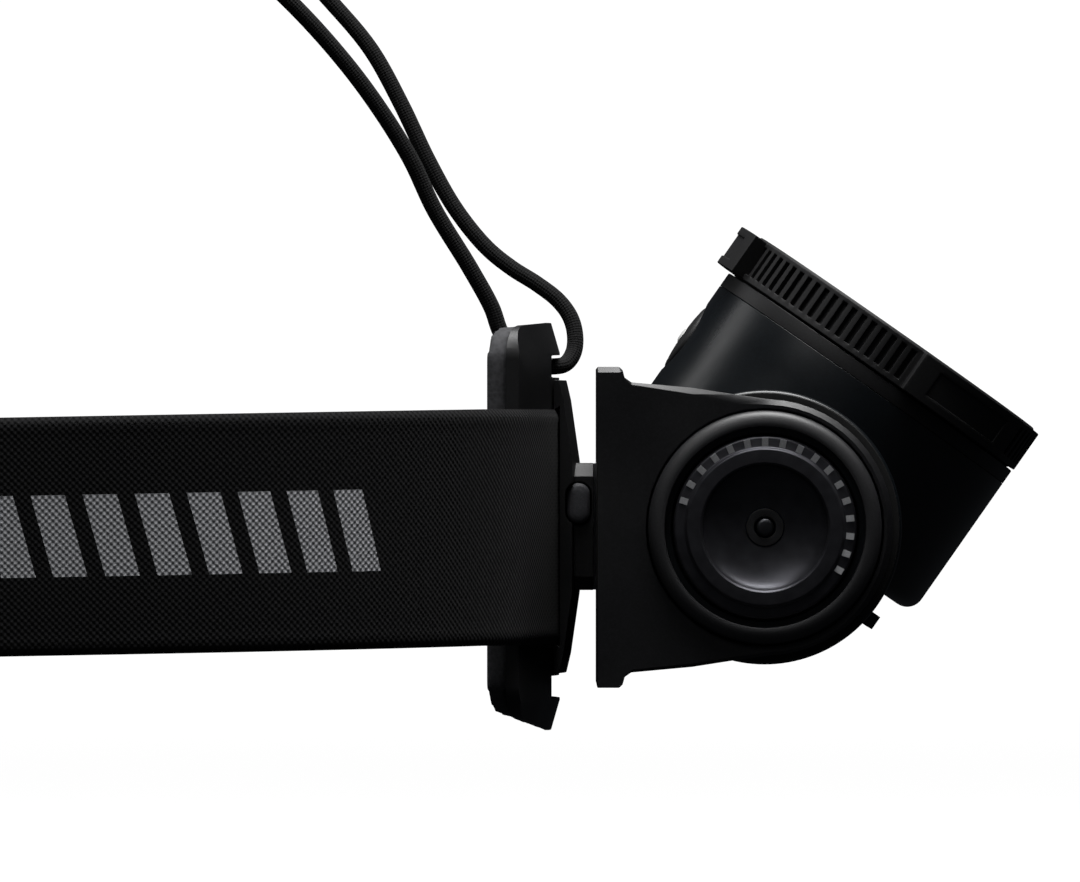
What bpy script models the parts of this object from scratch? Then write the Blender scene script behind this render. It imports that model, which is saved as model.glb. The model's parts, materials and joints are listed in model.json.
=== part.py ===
"""Rotating-focus headlamp with a battery barrel held in a tilting yoke.

Lengths below are in millimetres and angles in degrees; the helpers turn them into metres
and radians.  +X points forward from the wearer's forehead, +Z up, and the origin lies
between the two side edges of the forehead pad.
"""

import math

import bmesh
import bpy
from mathutils import Matrix, Vector

MM = 0.001
ROUND = 40              # sides of a large turned piece
SMALL_ROUND = 20        # sides of a small turned piece
GAP = 0.3               # gap left between pieces that touch

# Headband
PAD_RADIUS = 88.0       # forehead side of the pad, seen from above
PAD_THICK = 2.8
WEB_THICK = 1.2
STRAP_THICK = 1.2
STRAP_HEIGHT = 35.0
STRAP_SLOPE = 0.018     # the band drops towards the back of the head
PLATE_HALF_WIDTH = 33.0
PLATE_HALF_HEIGHT = 30.5
COVER_HALF_WIDTH = 15.0
HEAD_HALF_WIDTH = 76.0
BAND_SIDE_END = -114.0  # where the straight side of the band meets its rear arc
SLIDER_X = -92.0
SLIDER_LENGTH = 14.0

ARC_CENTRE_X = -math.sqrt(PAD_RADIUS ** 2 - PLATE_HALF_WIDTH ** 2)
WEB_IN = PAD_RADIUS + PAD_THICK + GAP
WEB_OUT = WEB_IN + WEB_THICK
STRAP_RADIUS = WEB_OUT + GAP + STRAP_THICK / 2
COVER_IN = STRAP_RADIUS + STRAP_THICK / 2 + GAP
COVER_OUT = COVER_IN + 1.9
CHANNEL_HALF = STRAP_HEIGHT / 2 + 0.3

# Cord over the head
CORD_DIAMETER = 2.4
CORD_SLOT_LOW = 22.3
CORD_SLOT_HIGH = 25.7
CORD_SLOT_HALF_WIDTH = 5.0
CORD_GROOVE_ANGLE = 9.3  # half the groove, seen from the centre of the pad's curve
LOCK_X = -199.5         # where both strands enter the cord lock
LOCK_STRAND_GAP = 1.6   # half the distance between the strands there
LOCK_TRAVEL = 2.0

# Dock and yoke
BOSS_FRONT = 16.4
YOKE_BACK = 16.9
YOKE_PLATE_FRONT = 20.7
YOKE_HALF_HEIGHT = 23.8
CHEEK_INNER = 34.8
CHEEK_OUTER = 38.2
CHEEK_RADIUS = 19.0
RAIL_HALF_HEIGHT = 9.5
RELEASE_Z = 3.5
COVER_SCREW_Z = 20.2
RAIL_SCREW_Z = 6.0
RELEASE_X = 14.2
RELEASE_RADIUS = 1.7
RELEASE_STRETCH = 1.3   # the button is a slot shape, taller than wide

# Lamp head: u runs along the optical axis from the tilt pivot
PIVOT_X = 41.8
TILT_UP = 55.0
BARREL_RADIUS = 20.4
BARREL_HALF = 33.4
HUB_RADIUS = 17.4
HUB_HALF = 38.0
CELL_RADIUS = 10.7
BORE_RADIUS = 11.2
CAP_RADIUS = 13.6
CAP_SEAT = 36.4
HEAD_RADIUS = 25.9
HEAD_REAR_U = 2.1
HOUSING_FRONT_U = 25.7
COLLAR_U = 28.1
RING_REAR_U = 28.4
RING_FRONT_U = 35.4
CAVITY_RADIUS = 22.9
CAVITY_FLOOR_U = 12.9
SLEEVE_RADIUS = 23.0
RING_BORE = 23.4
RIB_RADIUS = 26.1
RIB_ROOT = 25.2
GRIP_RADIUS = 28.3
GRIP_ANGLES = (-58.0, 62.0, 182.0)
GRIP_SPAN = 44.0
RIBS_PER_SECTOR = 19
BUTTON_U = 16.6
BUTTON_RADIUS = 5.7
LENS_REAR_U = 20.9
LENS_FRONT_U = 28.6


def start_clean():
    for old in list(bpy.data.objects):
        bpy.data.objects.remove(old)
    parts = bpy.data.collections.new("headlamp")
    cutters = bpy.data.collections.new("cutters")
    bpy.context.scene.collection.children.link(parts)
    bpy.context.scene.collection.children.link(cutters)
    return parts, cutters


PARTS, CUTTERS = start_clean()


def finish_of(name, colour, roughness, metallic=0.0, alpha=1.0):
    finish = bpy.data.materials.new(name)
    finish.use_nodes = True
    shader = finish.node_tree.nodes["Principled BSDF"]
    shader.inputs["Base Color"].default_value = (*colour, 1.0)
    shader.inputs["Roughness"].default_value = roughness
    shader.inputs["Metallic"].default_value = metallic
    shader.inputs["Alpha"].default_value = alpha
    return finish


FINISH = {
    "black_shell": finish_of("black_shell", (0.012, 0.012, 0.013), 0.45),
    "soft_grip": finish_of("soft_grip", (0.018, 0.018, 0.019), 0.75),
    "pad_rubber": finish_of("pad_rubber", (0.045, 0.045, 0.047), 0.8),
    "webbing": finish_of("webbing", (0.012, 0.012, 0.013), 0.9),
    "cord_sheath": finish_of("cord_sheath", (0.012, 0.012, 0.013), 0.85),
    "seal_rubber": finish_of("seal_rubber", (0.02, 0.02, 0.02), 0.7),
    "steel": finish_of("steel", (0.55, 0.55, 0.56), 0.3, 1.0),
    "alloy": finish_of("alloy", (0.62, 0.63, 0.65), 0.4, 1.0),
    "dark_dish": finish_of("dark_dish", (0.10, 0.10, 0.11), 0.3, 0.6),
    "clear_lens": finish_of("clear_lens", (0.9, 0.93, 0.95), 0.05, 0.0, 0.35),
    "board_green": finish_of("board_green", (0.03, 0.16, 0.07), 0.5),
    "emitter_yellow": finish_of("emitter_yellow", (0.85, 0.75, 0.15), 0.4),
    "cell_wrap": finish_of("cell_wrap", (0.05, 0.08, 0.20), 0.4),
    "icon_white": finish_of("icon_white", (0.85, 0.85, 0.85), 0.5),
}


def empty_at(name, location, rotation=(0, 0, 0), parent=None):
    pivot = bpy.data.objects.new(name, None)
    pivot.location = Vector(location) * MM
    pivot.rotation_euler = [math.radians(a) for a in rotation]
    pivot.parent = parent
    PARTS.objects.link(pivot)
    return pivot


def add_object(name, mesh, finish, location=(0, 0, 0), rotation=(0, 0, 0), parent=None):
    """A named part; with finish None it is a cutter or an added form, left out of the build."""
    piece = bpy.data.objects.new(name, mesh)
    piece.location = Vector(location) * MM
    piece.rotation_euler = [math.radians(a) for a in rotation]
    piece.parent = parent
    if finish is None:
        CUTTERS.objects.link(piece)
        piece.hide_render = True
        piece.display_type = "WIRE"
    else:
        PARTS.objects.link(piece)
        mesh.materials.append(FINISH[finish])
    return piece


def mesh_of(name, form):
    mesh = bpy.data.meshes.new(name)
    form.to_mesh(mesh)
    form.free()
    return mesh


def arc(centre, radius, start, stop, count):
    """Points on a circle from start to stop degrees."""
    turns = [math.radians(start + (stop - start) * i / (count - 1)) for i in range(count)]
    return [(centre[0] + radius * math.cos(t), centre[1] + radius * math.sin(t)) for t in turns]


def box(name, finish, low, high, parent=None):
    form = bmesh.new()
    bmesh.ops.create_cube(form, size=1.0)
    size = [(b - a) * MM for a, b in zip(low, high)]
    centre = [(a + b) / 2 * MM for a, b in zip(low, high)]
    bmesh.ops.scale(form, vec=size, verts=form.verts)
    bmesh.ops.translate(form, vec=centre, verts=form.verts)
    return add_object(name, mesh_of(name, form), finish, parent=parent)


def rod(name, finish, radius, low, high, sides=ROUND, **place):
    """A plain cylinder along its own z axis, from low to high."""
    form = bmesh.new()
    bmesh.ops.create_cone(form, cap_ends=True, segments=sides, radius1=radius * MM,
                          radius2=radius * MM, depth=(high - low) * MM)
    bmesh.ops.translate(form, vec=(0, 0, (low + high) / 2 * MM), verts=form.verts)
    return add_object(name, mesh_of(name, form), finish, **place)


def turned(name, finish, profile, closed=False, sides=ROUND, **place):
    """A profile of (radius, height) points, running down its outer side, turned about z."""
    mesh = bpy.data.meshes.new(name)
    count = len(profile)
    edges = [(i, i + 1) for i in range(count - 1)]
    if closed:
        edges.append((count - 1, 0))
    mesh.from_pydata([(r * MM, 0, z * MM) for r, z in profile], edges, [])
    piece = add_object(name, mesh, finish, **place)
    screw = piece.modifiers.new("turn", "SCREW")
    screw.axis = "Z"
    screw.angle = math.tau
    screw.steps = sides
    screw.render_steps = sides
    screw.use_merge_vertices = True
    screw.merge_threshold = 0.00001
    return piece


def swept(name, finish, profile, half_angle, steps, centre_x, drop=0.0, facing=0.0):
    """A closed (radius, height) profile swept round an upright axis at centre_x."""
    form = bmesh.new()
    corners = [form.verts.new((r * MM, 0, z * MM)) for r, z in profile]
    form.faces.new(corners)
    start = Matrix.Rotation(math.radians(facing - half_angle), 3, "Z")
    bmesh.ops.rotate(form, cent=(0, 0, 0), matrix=start, verts=form.verts)
    bmesh.ops.spin(form, geom=form.verts[:] + form.edges[:] + form.faces[:], cent=(0, 0, 0),
                   axis=(0, 0, 1), angle=math.radians(2 * half_angle), steps=steps)
    bmesh.ops.remove_doubles(form, verts=form.verts, dist=0.000001)
    bmesh.ops.recalc_face_normals(form, faces=form.faces)
    return add_object(name, mesh_of(name, form), finish, location=(centre_x, 0, drop))


def outline(name, finish, points, low, high, facing, parent=None):
    """A flat outline made thick from low to high along an axis.

    facing "side": points are (x, z), thickness along y.  facing "front": points are (y, z),
    thickness along x.  facing "top": points are (x, y), thickness along z.
    """
    shape = bpy.data.curves.new(name, "CURVE")
    shape.dimensions = "2D"
    shape.fill_mode = "BOTH"
    shape.extrude = (high - low) / 2 * MM
    line = shape.splines.new("POLY")
    line.points.add(len(points) - 1)
    for point, (a, b) in zip(line.points, points):
        point.co = (a * MM, b * MM, 0, 1)
    line.use_cyclic_u = True
    guide = bpy.data.objects.new(name + "_outline", shape)
    CUTTERS.objects.link(guide)
    mesh = bpy.data.meshes.new_from_object(guide.evaluated_get(bpy.context.evaluated_depsgraph_get()))
    bpy.data.objects.remove(guide)
    form = bmesh.new()
    form.from_mesh(mesh)
    bmesh.ops.remove_doubles(form, verts=form.verts, dist=0.000001)
    middle = (low + high) / 2 * MM
    turn = {
        "side": Matrix(((1, 0, 0), (0, 0, -1), (0, 1, 0))),
        "front": Matrix(((0, 0, 1), (1, 0, 0), (0, 1, 0))),
        "top": Matrix.Identity(3),
    }[facing]
    shift = {"side": (0, middle, 0), "front": (middle, 0, 0), "top": (0, 0, middle)}[facing]
    bmesh.ops.transform(form, matrix=turn.to_4x4(), verts=form.verts)
    bmesh.ops.translate(form, vec=shift, verts=form.verts)
    bmesh.ops.recalc_face_normals(form, faces=form.faces)
    bpy.data.meshes.remove(mesh)
    return add_object(name, mesh_of(name, form), finish, parent=parent)


def combine(piece, other, operation):
    step = piece.modifiers.new(other.name, "BOOLEAN")
    step.operation = operation
    step.object = other
    step.solver = "EXACT"


def cut(piece, *others):
    for other in others:
        combine(piece, other, "DIFFERENCE")


def join(piece, *others):
    for other in others:
        combine(piece, other, "UNION")


def keep(piece, other):
    combine(piece, other, "INTERSECT")


def bevel(piece, width, segments=1, angle=40):
    step = piece.modifiers.new("bevel", "BEVEL")
    step.width = width * MM
    step.segments = segments
    step.limit_method = "ANGLE"
    step.angle_limit = math.radians(angle)


def mirrored_outline(half):
    """Close an outline given on its upper side by adding its mirror image below."""
    return half + [(a, -b) for a, b in reversed(half)]


# ---------------------------------------------------------------- headband

def plate_outline(top_margin, margin):
    """The front view of the forehead plate, a rounded rectangle with a domed top and bottom."""
    corner, wide = 5.0, PLATE_HALF_WIDTH - margin
    top, bottom = PLATE_HALF_HEIGHT - top_margin, PLATE_HALF_HEIGHT - margin

    def quarter(high, drop, dome):
        return [*arc((wide - corner, high - drop - corner), corner, 0, 90, 6), (18, high - dome), (8, high)]

    above, below = quarter(top, 0.5, 0.2), quarter(bottom, 1.8, 0.7)
    return (above + [(-a, b) for a, b in reversed(above)] + [(-a, -b) for a, b in below]
            + [(a, -b) for a, b in reversed(below)])


def build_forehead_pad():
    half = PLATE_HALF_HEIGHT
    pad = swept("forehead_pad", "pad_rubber",
                [(PAD_RADIUS, half), (PAD_RADIUS, -half), (PAD_RADIUS + PAD_THICK, -half),
                 (PAD_RADIUS + PAD_THICK, half)], 24, 16, ARC_CENTRE_X)
    keep(pad, outline("pad_outline", None, plate_outline(0.3, 0.8), -20, 30, "front"))
    notch = CORD_SLOT_HALF_WIDTH + 1.5
    for side in (1, -1):
        low, high = sorted((side * (CORD_SLOT_LOW - 0.8), side * 40))
        cut(pad, box("pad_notch", None, (-5, -notch, low), (15, notch, high)))


def build_base_plate():
    edge_out, rim_out, slot_floor, step_out = WEB_IN + 0.6, WEB_OUT + 0.7, WEB_IN + 0.8, WEB_OUT + 0.6
    half = [(WEB_IN, PLATE_HALF_HEIGHT), (edge_out, PLATE_HALF_HEIGHT), (rim_out, CORD_SLOT_HIGH + GAP),
            (step_out, CORD_SLOT_LOW), (step_out, CHANNEL_HALF), (WEB_OUT, CHANNEL_HALF)]
    plate = swept("base_plate", "black_shell", mirrored_outline(half), 24, 16, ARC_CENTRE_X)
    keep(plate, outline("plate_outline", None, plate_outline(0.0, 0.0), -20, 30, "front"))
    for side in (1, -1):
        groove = [(slot_floor, side * CORD_SLOT_HIGH), (slot_floor, side * CORD_SLOT_LOW),
                  (rim_out + 2, side * CORD_SLOT_LOW), (rim_out + 2, side * CORD_SLOT_HIGH)]
        cut(plate, swept("cord_groove", None, groove, CORD_GROOVE_ANGLE, 6, ARC_CENTRE_X))
        low, high = sorted((side * (CORD_SLOT_LOW + 0.1), side * (CORD_SLOT_HIGH - 0.1)))
        cut(plate, box("cord_slot", None, (5, -CORD_SLOT_HALF_WIDTH, low),
                       (15, CORD_SLOT_HALF_WIDTH, high)))
    for height in (COVER_SCREW_Z, -COVER_SCREW_Z):
        facing = dict(rotation=(0, 90, 0), location=(0, 0, height), sides=SMALL_ROUND)
        cut(plate, rod("cover_screw_hole", None, 1.1, 5, 15, **facing),
            rod("cover_screw_seat", None, 2.2, 5, 10.5, **facing))


def release_outline(radius):
    """The release button from the side: a slot shape, taller than wide."""
    return (arc((RELEASE_X, RELEASE_Z + RELEASE_STRETCH), radius, 0, 180, 9)
            + arc((RELEASE_X, RELEASE_Z - RELEASE_STRETCH), radius, 180, 360, 9))


def build_front_cover():
    lip_in, lip_out, shoulder, lip_height = STRAP_RADIUS, COVER_IN - 0.1, COVER_IN + 0.6, 21.9
    half = [(COVER_IN, 18.0), (lip_in, CHANNEL_HALF), (lip_in, lip_height), (lip_out, lip_height),
            (shoulder, 18.9), (COVER_OUT, 9.8)]
    angle = math.degrees(math.asin(COVER_HALF_WIDTH / COVER_OUT))
    cover = swept("front_cover", "black_shell", mirrored_outline(half), angle, 8, ARC_CENTRE_X)
    boss = outline("dock_boss", None,
                   [(-13, -7.5), (-11, -9.5), (11, -9.5), (13, -7.5), (13, 7.5), (11, 9.5), (-11, 9.5),
                    (-13, 7.5)], 13.2, BOSS_FRONT, "front")
    join(cover, boss)
    cut(cover, outline("release_bore", None, release_outline(RELEASE_RADIUS + GAP), -20, -9.3, "side"))
    for height in (RAIL_SCREW_Z, -RAIL_SCREW_Z):
        cut(cover, rod("rail_screw_hole", None, 1.2, 13.6, 20, sides=SMALL_ROUND, rotation=(0, 90, 0),
                       location=(0, 0, height)))
    for height in (COVER_SCREW_Z, -COVER_SCREW_Z):
        cut(cover, rod("cover_screw_blind", None, 1.0, 5, 12.35, sides=SMALL_ROUND,
                       rotation=(0, 90, 0), location=(0, 0, height)))


def build_dock():
    neck, head = 3.5, 5.5
    outer = [(BOSS_FRONT + GAP, neck), (17.9, neck), (17.9, head), (19.3, head)]
    points = outer + [(a, -b) for a, b in reversed(outer)]
    rail = outline("dock_rail", "alloy", points, -RAIL_HALF_HEIGHT, RAIL_HALF_HEIGHT, "top")
    for height in (RAIL_SCREW_Z, -RAIL_SCREW_Z):
        facing = dict(rotation=(0, 90, 0), location=(0, 0, height), sides=SMALL_ROUND)
        cut(rail, rod("rail_hole", None, 1.2, 10, 25, **facing), rod("rail_seat", None, 2.1, 18.1, 25, **facing))


def build_screw(name, height, tip, under_head, head_top, shank, head, towards_back=False):
    """A pan head screw along x, its head at the front unless it is driven from behind."""
    profile = [(0, head_top), (head * 0.75, head_top), (head, head_top - 0.3), (head, under_head),
               (shank, under_head), (shank, tip + 0.3), (shank * 0.5, tip), (0, tip)]
    turn = -90 if towards_back else 90
    turned(name, "steel", profile, sides=SMALL_ROUND, rotation=(0, turn, 0), location=(0, 0, height))


def band_path():
    """The band seen from above: front arc, corners, straight sides and rear arc."""
    front_end = 22.0
    start = (ARC_CENTRE_X + STRAP_RADIUS * math.cos(math.radians(front_end)),
             STRAP_RADIUS * math.sin(math.radians(front_end)))
    corner = (HEAD_HALF_WIDTH - start[1]) / (1 - math.sin(math.radians(front_end)))
    corner_centre = (start[0] - corner * math.cos(math.radians(front_end)),
                     start[1] - corner * math.sin(math.radians(front_end)))
    half = arc((ARC_CENTRE_X, 0), STRAP_RADIUS, 0, front_end, 9)[:-1]
    half += arc(corner_centre, corner, front_end, 90, 13)
    half += arc((BAND_SIDE_END, 0), HEAD_HALF_WIDTH, 90, 180, 17)
    return half + [(x, -y) for x, y in reversed(half[1:-1])]


def band_drop(x):
    return STRAP_SLOPE * min(x, 0.0)


def build_strap():
    form = bmesh.new()
    path = band_path()
    rows = []
    for level in (-STRAP_HEIGHT / 2, STRAP_HEIGHT / 2):
        rows.append([form.verts.new((x * MM, y * MM, (level + band_drop(x)) * MM)) for x, y in path])
    edges = [form.edges.new((rows[0][i], rows[0][i - 1])) for i in range(len(path))]
    edges += [form.edges.new((rows[1][i], rows[1][i - 1])) for i in range(len(path))]
    bmesh.ops.bridge_loops(form, edges=edges)
    bmesh.ops.recalc_face_normals(form, faces=form.faces)
    strap = add_object("strap", mesh_of("strap", form), "webbing")
    shell = strap.modifiers.new("thickness", "SOLIDIFY")
    shell.thickness = STRAP_THICK * MM
    shell.offset = 0.0
    shell.use_even_offset = True


def build_slider(side, name):
    """A two-slot strap slider; side is -1 on the wearer's right, +1 on the left."""
    level = band_drop(SLIDER_X)
    half = SLIDER_LENGTH / 2
    inner, outer = HEAD_HALF_WIDTH - 2.3, HEAD_HALF_WIDTH + 2.4

    def across(a, b):
        return tuple(sorted((side * a, side * b)))

    y_low, y_high = across(inner, outer)
    slider = box(name, "black_shell", (SLIDER_X - half, y_low, level - 21), (SLIDER_X + half, y_high, level + 21))
    bevel(slider, 0.8)
    y_low, y_high = across(HEAD_HALF_WIDTH - 1.1, HEAD_HALF_WIDTH + 1.1)
    cut(slider, box("strap_way", None, (SLIDER_X - 20, y_low, level - 18.3), (SLIDER_X + 20, y_high, level + 18.3)))
    y_low, y_high = across(HEAD_HALF_WIDTH, HEAD_HALF_WIDTH + 6)
    for centre in (SLIDER_X - 3.4, SLIDER_X + 3.4):
        cut(slider, box("slider_window", None, (centre - 2.0, y_low, level - 17.6),
                        (centre + 2.0, y_high, level + 17.6)))


def build_rear_clip():
    drop = band_drop(BAND_SIDE_END - HEAD_HALF_WIDTH)
    inner, outer, high = HEAD_HALF_WIDTH - 2.8, HEAD_HALF_WIDTH + 3.0, 20.2
    ring = [(outer, high), (inner, high), (inner, -high), (outer, -high)]
    clip = swept("rear_clip", "black_shell", ring, 10, 6, BAND_SIDE_END, drop, facing=180)
    way_in, way_out, way_high = HEAD_HALF_WIDTH - 1.0, HEAD_HALF_WIDTH + 1.0, 18.3
    way = [(way_out, way_high), (way_in, way_high), (way_in, -way_high), (way_out, -way_high)]
    cut(clip, swept("strap_way_rear", None, way, 16, 12, BAND_SIDE_END, drop, facing=180))
    return drop


def build_cord_lock(drop):
    """A barrel with its axis along x; both strands drop into it from above."""
    base = HEAD_HALF_WIDTH - BAND_SIDE_END + 3.0 + GAP
    floor = base + 1.0
    end = base + 12.1
    along = dict(rotation=(0, -90, 0), location=(0, 0, drop), sides=28)
    barrel = turned("cord_lock_barrel", "black_shell",
                    [(0, end), (5.2, end), (6.0, end - 0.8), (6.4, 199), (6.0, 195), (5.4, base), (0, base)], **along)
    cut(barrel, rod("lock_bore", None, 4.1, floor, end + 10, **along))
    half = CORD_DIAMETER / 2
    way = LOCK_STRAND_GAP + half + 0.4
    cut(barrel, box("lock_way", None, (LOCK_X - half - 0.4, -way, drop - 2), (LOCK_X + half + 0.4, way, drop + 10)))
    inner = floor + LOCK_TRAVEL + GAP
    under_head = end + LOCK_TRAVEL + GAP
    plunger = turned("cord_lock_plunger", "black_shell",
                     [(0, under_head + 1.4), (4.2, under_head + 1.4), (5.0, under_head + 0.7), (5.0, under_head),
                      (3.8, under_head), (3.8, inner), (0, inner)], **along)
    cut(plunger, box("plunger_way", None, (LOCK_X - half - LOCK_TRAVEL - 0.5, -way, drop - 2.6),
                     (LOCK_X + half + GAP, way, drop + 6)))


def smooth_route(points, between):
    """Points on a centripetal Catmull-Rom curve through the route points."""
    route = [Vector(p) for p in points]
    route = [route[0] * 2 - route[1], *route, route[-1] * 2 - route[-2]]
    line = []
    for a, b, c, d in zip(route, route[1:], route[2:], route[3:]):
        times = [0.0]
        for p, q in ((a, b), (b, c), (c, d)):
            times.append(times[-1] + math.sqrt((q - p).length))
        for i in range(between):
            t = times[1] + (times[2] - times[1]) * i / between
            ab = a.lerp(b, (t - times[0]) / (times[1] - times[0]))
            bc = b.lerp(c, (t - times[1]) / (times[2] - times[1]))
            cd = c.lerp(d, (t - times[2]) / (times[3] - times[2]))
            abc = ab.lerp(bc, (t - times[0]) / (times[2] - times[0]))
            bcd = bc.lerp(cd, (t - times[1]) / (times[3] - times[1]))
            line.append(abc.lerp(bcd, (t - times[1]) / (times[2] - times[1])))
    line.append(route[-2])
    return line


CORD_ROUTE = [
    (LOCK_X, -LOCK_STRAND_GAP, -1.5), (LOCK_X, -LOCK_STRAND_GAP, 6), (-197.8, -2.0, 20), (-191.5, -4.5, 42),
    (-180.5, -7.5, 64), (-164.5, -10.5, 83.5), (-144, -13, 98.5), (-120.5, -14, 107.5), (-97, -14, 110.5),
    (-74.5, -13.5, 107.5), (-54.5, -12, 98.8), (-39.5, -10, 88), (-28.5, -8.5, 78.1), (-21, -7.5, 69.8),
    (-15.7, -6.5, 62.7), (-11, -5.5, 55.1), (-7.4, -4.6, 47.5), (-2.1, -3.8, 38.8), (1.2, -3.2, 32.8),
    (2.6, -2.9, 29.0), (5.0, -2.6, 25.9), (8.2, -2.2, 24.2), (10.6, -1.4, 24.0), (12.3, -0.2, 24.4),
    (13.5, 1.0, 26.2), (13.7, 1.8, 28.8), (13.0, 2.4, 31.4), (11.2, 3.0, 33.9), (8.0, 3.6, 36.4),
    (4.2, 4.2, 38.8), (0.4, 4.8, 41.9), (-4.2, 5.6, 47.6), (-8.4, 6.4, 55.0), (-12.4, 7.2, 63.4),
    (-17.0, 8.0, 71.7), (-22.9, 9.0, 78.8), (-33.5, 10.5, 89.8), (-48.5, 12.0, 100.8), (-70, 13.5, 110.0),
    (-95, 14, 114.0), (-120.5, 14, 111.2), (-145, 13, 101.8), (-166.5, 10.5, 86.0), (-182.5, 7.5, 65.8),
    (-193, 4.5, 43.0), (-198.4, 2.0, 20.5), (LOCK_X, LOCK_STRAND_GAP, 6), (LOCK_X, LOCK_STRAND_GAP, -1.5),
]


def spaced(line, longest, sharpest):
    """Thin a fine line out: a point each longest millimetres, or where it turns by sharpest degrees."""
    kept = [line[0]]
    for before, here, after in zip(line, line[1:], line[2:]):
        run = (here - kept[-1]).length
        turn = math.degrees((after - here).angle(here - kept[-1])) if run > 0.8 else 0.0
        if run >= longest or turn >= sharpest:
            kept.append(here)
    return kept + [line[-1]]


def build_cord():
    line = spaced(smooth_route(CORD_ROUTE, 12), 9.0, 16.0)
    shape = bpy.data.curves.new("overhead_cord", "CURVE")
    shape.dimensions = "3D"
    shape.bevel_depth = CORD_DIAMETER / 2 * MM
    shape.bevel_resolution = 2
    shape.use_fill_caps = True
    spline = shape.splines.new("POLY")
    spline.points.add(len(line) - 1)
    for point, place in zip(spline.points, line):
        point.co = (*(place * MM), 1)
    cord = bpy.data.objects.new("overhead_cord", shape)
    shape.materials.append(FINISH["cord_sheath"])
    PARTS.objects.link(cord)


def build_headband():
    build_forehead_pad()
    build_base_plate()
    build_front_cover()
    build_dock()
    for name, height in (("rail_screw_upper", RAIL_SCREW_Z), ("rail_screw_lower", -RAIL_SCREW_Z)):
        build_screw(name, height, 13.9, 18.3, 19.2, 0.9, 1.8)
    for name, height in (("cover_screw_upper", COVER_SCREW_Z), ("cover_screw_lower", -COVER_SCREW_Z)):
        build_screw(name, height, -12.1, -10.3, -9.5, 0.75, 1.9, towards_back=True)
    outline("release_button", "soft_grip", release_outline(RELEASE_RADIUS), -14.3, -10.6, "side")
    build_strap()
    build_slider(-1, "strap_slider_right")
    build_slider(1, "strap_slider_left")
    build_cord_lock(build_rear_clip())
    build_cord()


# ---------------------------------------------------------------- yoke

def build_yoke():
    upper = [(YOKE_BACK, YOKE_HALF_HEIGHT), (20.2, YOKE_HALF_HEIGHT), (YOKE_PLATE_FRONT, 23.3), (21.0, 22.2),
             (22.0, 21.5), (31.0, 20.7), (37.4, 19.7), *arc((PIVOT_X, 0), CHEEK_RADIUS, 88, 4, 14)]
    yoke = outline("yoke", "black_shell", mirrored_outline(upper), -CHEEK_OUTER, CHEEK_OUTER, "side")
    bevel(yoke, 0.7)
    cut(yoke, box("yoke_gap", None, (YOKE_PLATE_FRONT, -CHEEK_INNER, -30), (80, CHEEK_INNER, 30)))
    cut(yoke, rod("hub_way", None, HUB_RADIUS + GAP, -60, 60, rotation=(90, 0, 0), location=(PIVOT_X, 0, 0)))
    neck, head, top = 3.8, 5.8, RAIL_HALF_HEIGHT + GAP
    cut(yoke, box("shoe_neck", None, (10, -neck, -40), (18.5, neck, top)),
        box("shoe_head", None, (17.6, -head, -40), (19.6, head, top)))


# ---------------------------------------------------------------- lamp head

OUT_RIGHT = (90, 0, 0)   # turned about x so that z points out to the wearer's right, -y
OUT_LEFT = (-90, 0, 0)
OUT_TOP = (0, -90, 0)    # z points out through the top of the head


def build_housing(tilt):
    housing = rod("lamp_housing", "black_shell", BARREL_RADIUS, -BARREL_HALF, BARREL_HALF,
                  rotation=OUT_RIGHT, parent=tilt)
    rear = HEAD_REAR_U
    drum = turned("head_drum", None,
                  [(0, HOUSING_FRONT_U), (HEAD_RADIUS - 0.3, HOUSING_FRONT_U), (HEAD_RADIUS, HOUSING_FRONT_U - 0.3),
                   (HEAD_RADIUS, rear + 2.6), (HEAD_RADIUS - 0.5, rear + 1.2), (HEAD_RADIUS - 1.4, rear + 0.3),
                   (HEAD_RADIUS - 2.6, rear), (0, rear)], sides=48, parent=tilt)
    hubs = rod("hub_sleeves", None, HUB_RADIUS, -HUB_HALF, HUB_HALF, rotation=OUT_RIGHT, parent=tilt)
    join(housing, drum, hubs)
    for angle in (-96, 96):
        turn = math.radians(angle)
        reach, half = 20.9, 1.1
        centre = Vector((math.sin(turn), 0, math.cos(turn))) * reach
        tab = box("tilt_stop", None, (centre.x - half, -26, centre.z - half), (centre.x + half, 26, centre.z + half),
                  parent=tilt)
        join(housing, tab)
    cut(housing, rod("cell_bore", None, BORE_RADIUS, -60, 60, rotation=OUT_RIGHT, parent=tilt, sides=40),
        rod("port_seat", None, CAP_RADIUS + GAP, CAP_SEAT, 60, rotation=OUT_RIGHT, parent=tilt),
        rod("cap_seat", None, CAP_RADIUS + GAP, CAP_SEAT, 60, rotation=OUT_LEFT, parent=tilt),
        rod("head_cavity", None, CAVITY_RADIUS, CAVITY_FLOOR_U, 60, parent=tilt),
        rod("button_way", None, BUTTON_RADIUS + GAP, 20, 40, rotation=OUT_TOP, location=(0, 0, BUTTON_U),
            parent=tilt, sides=24))


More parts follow.
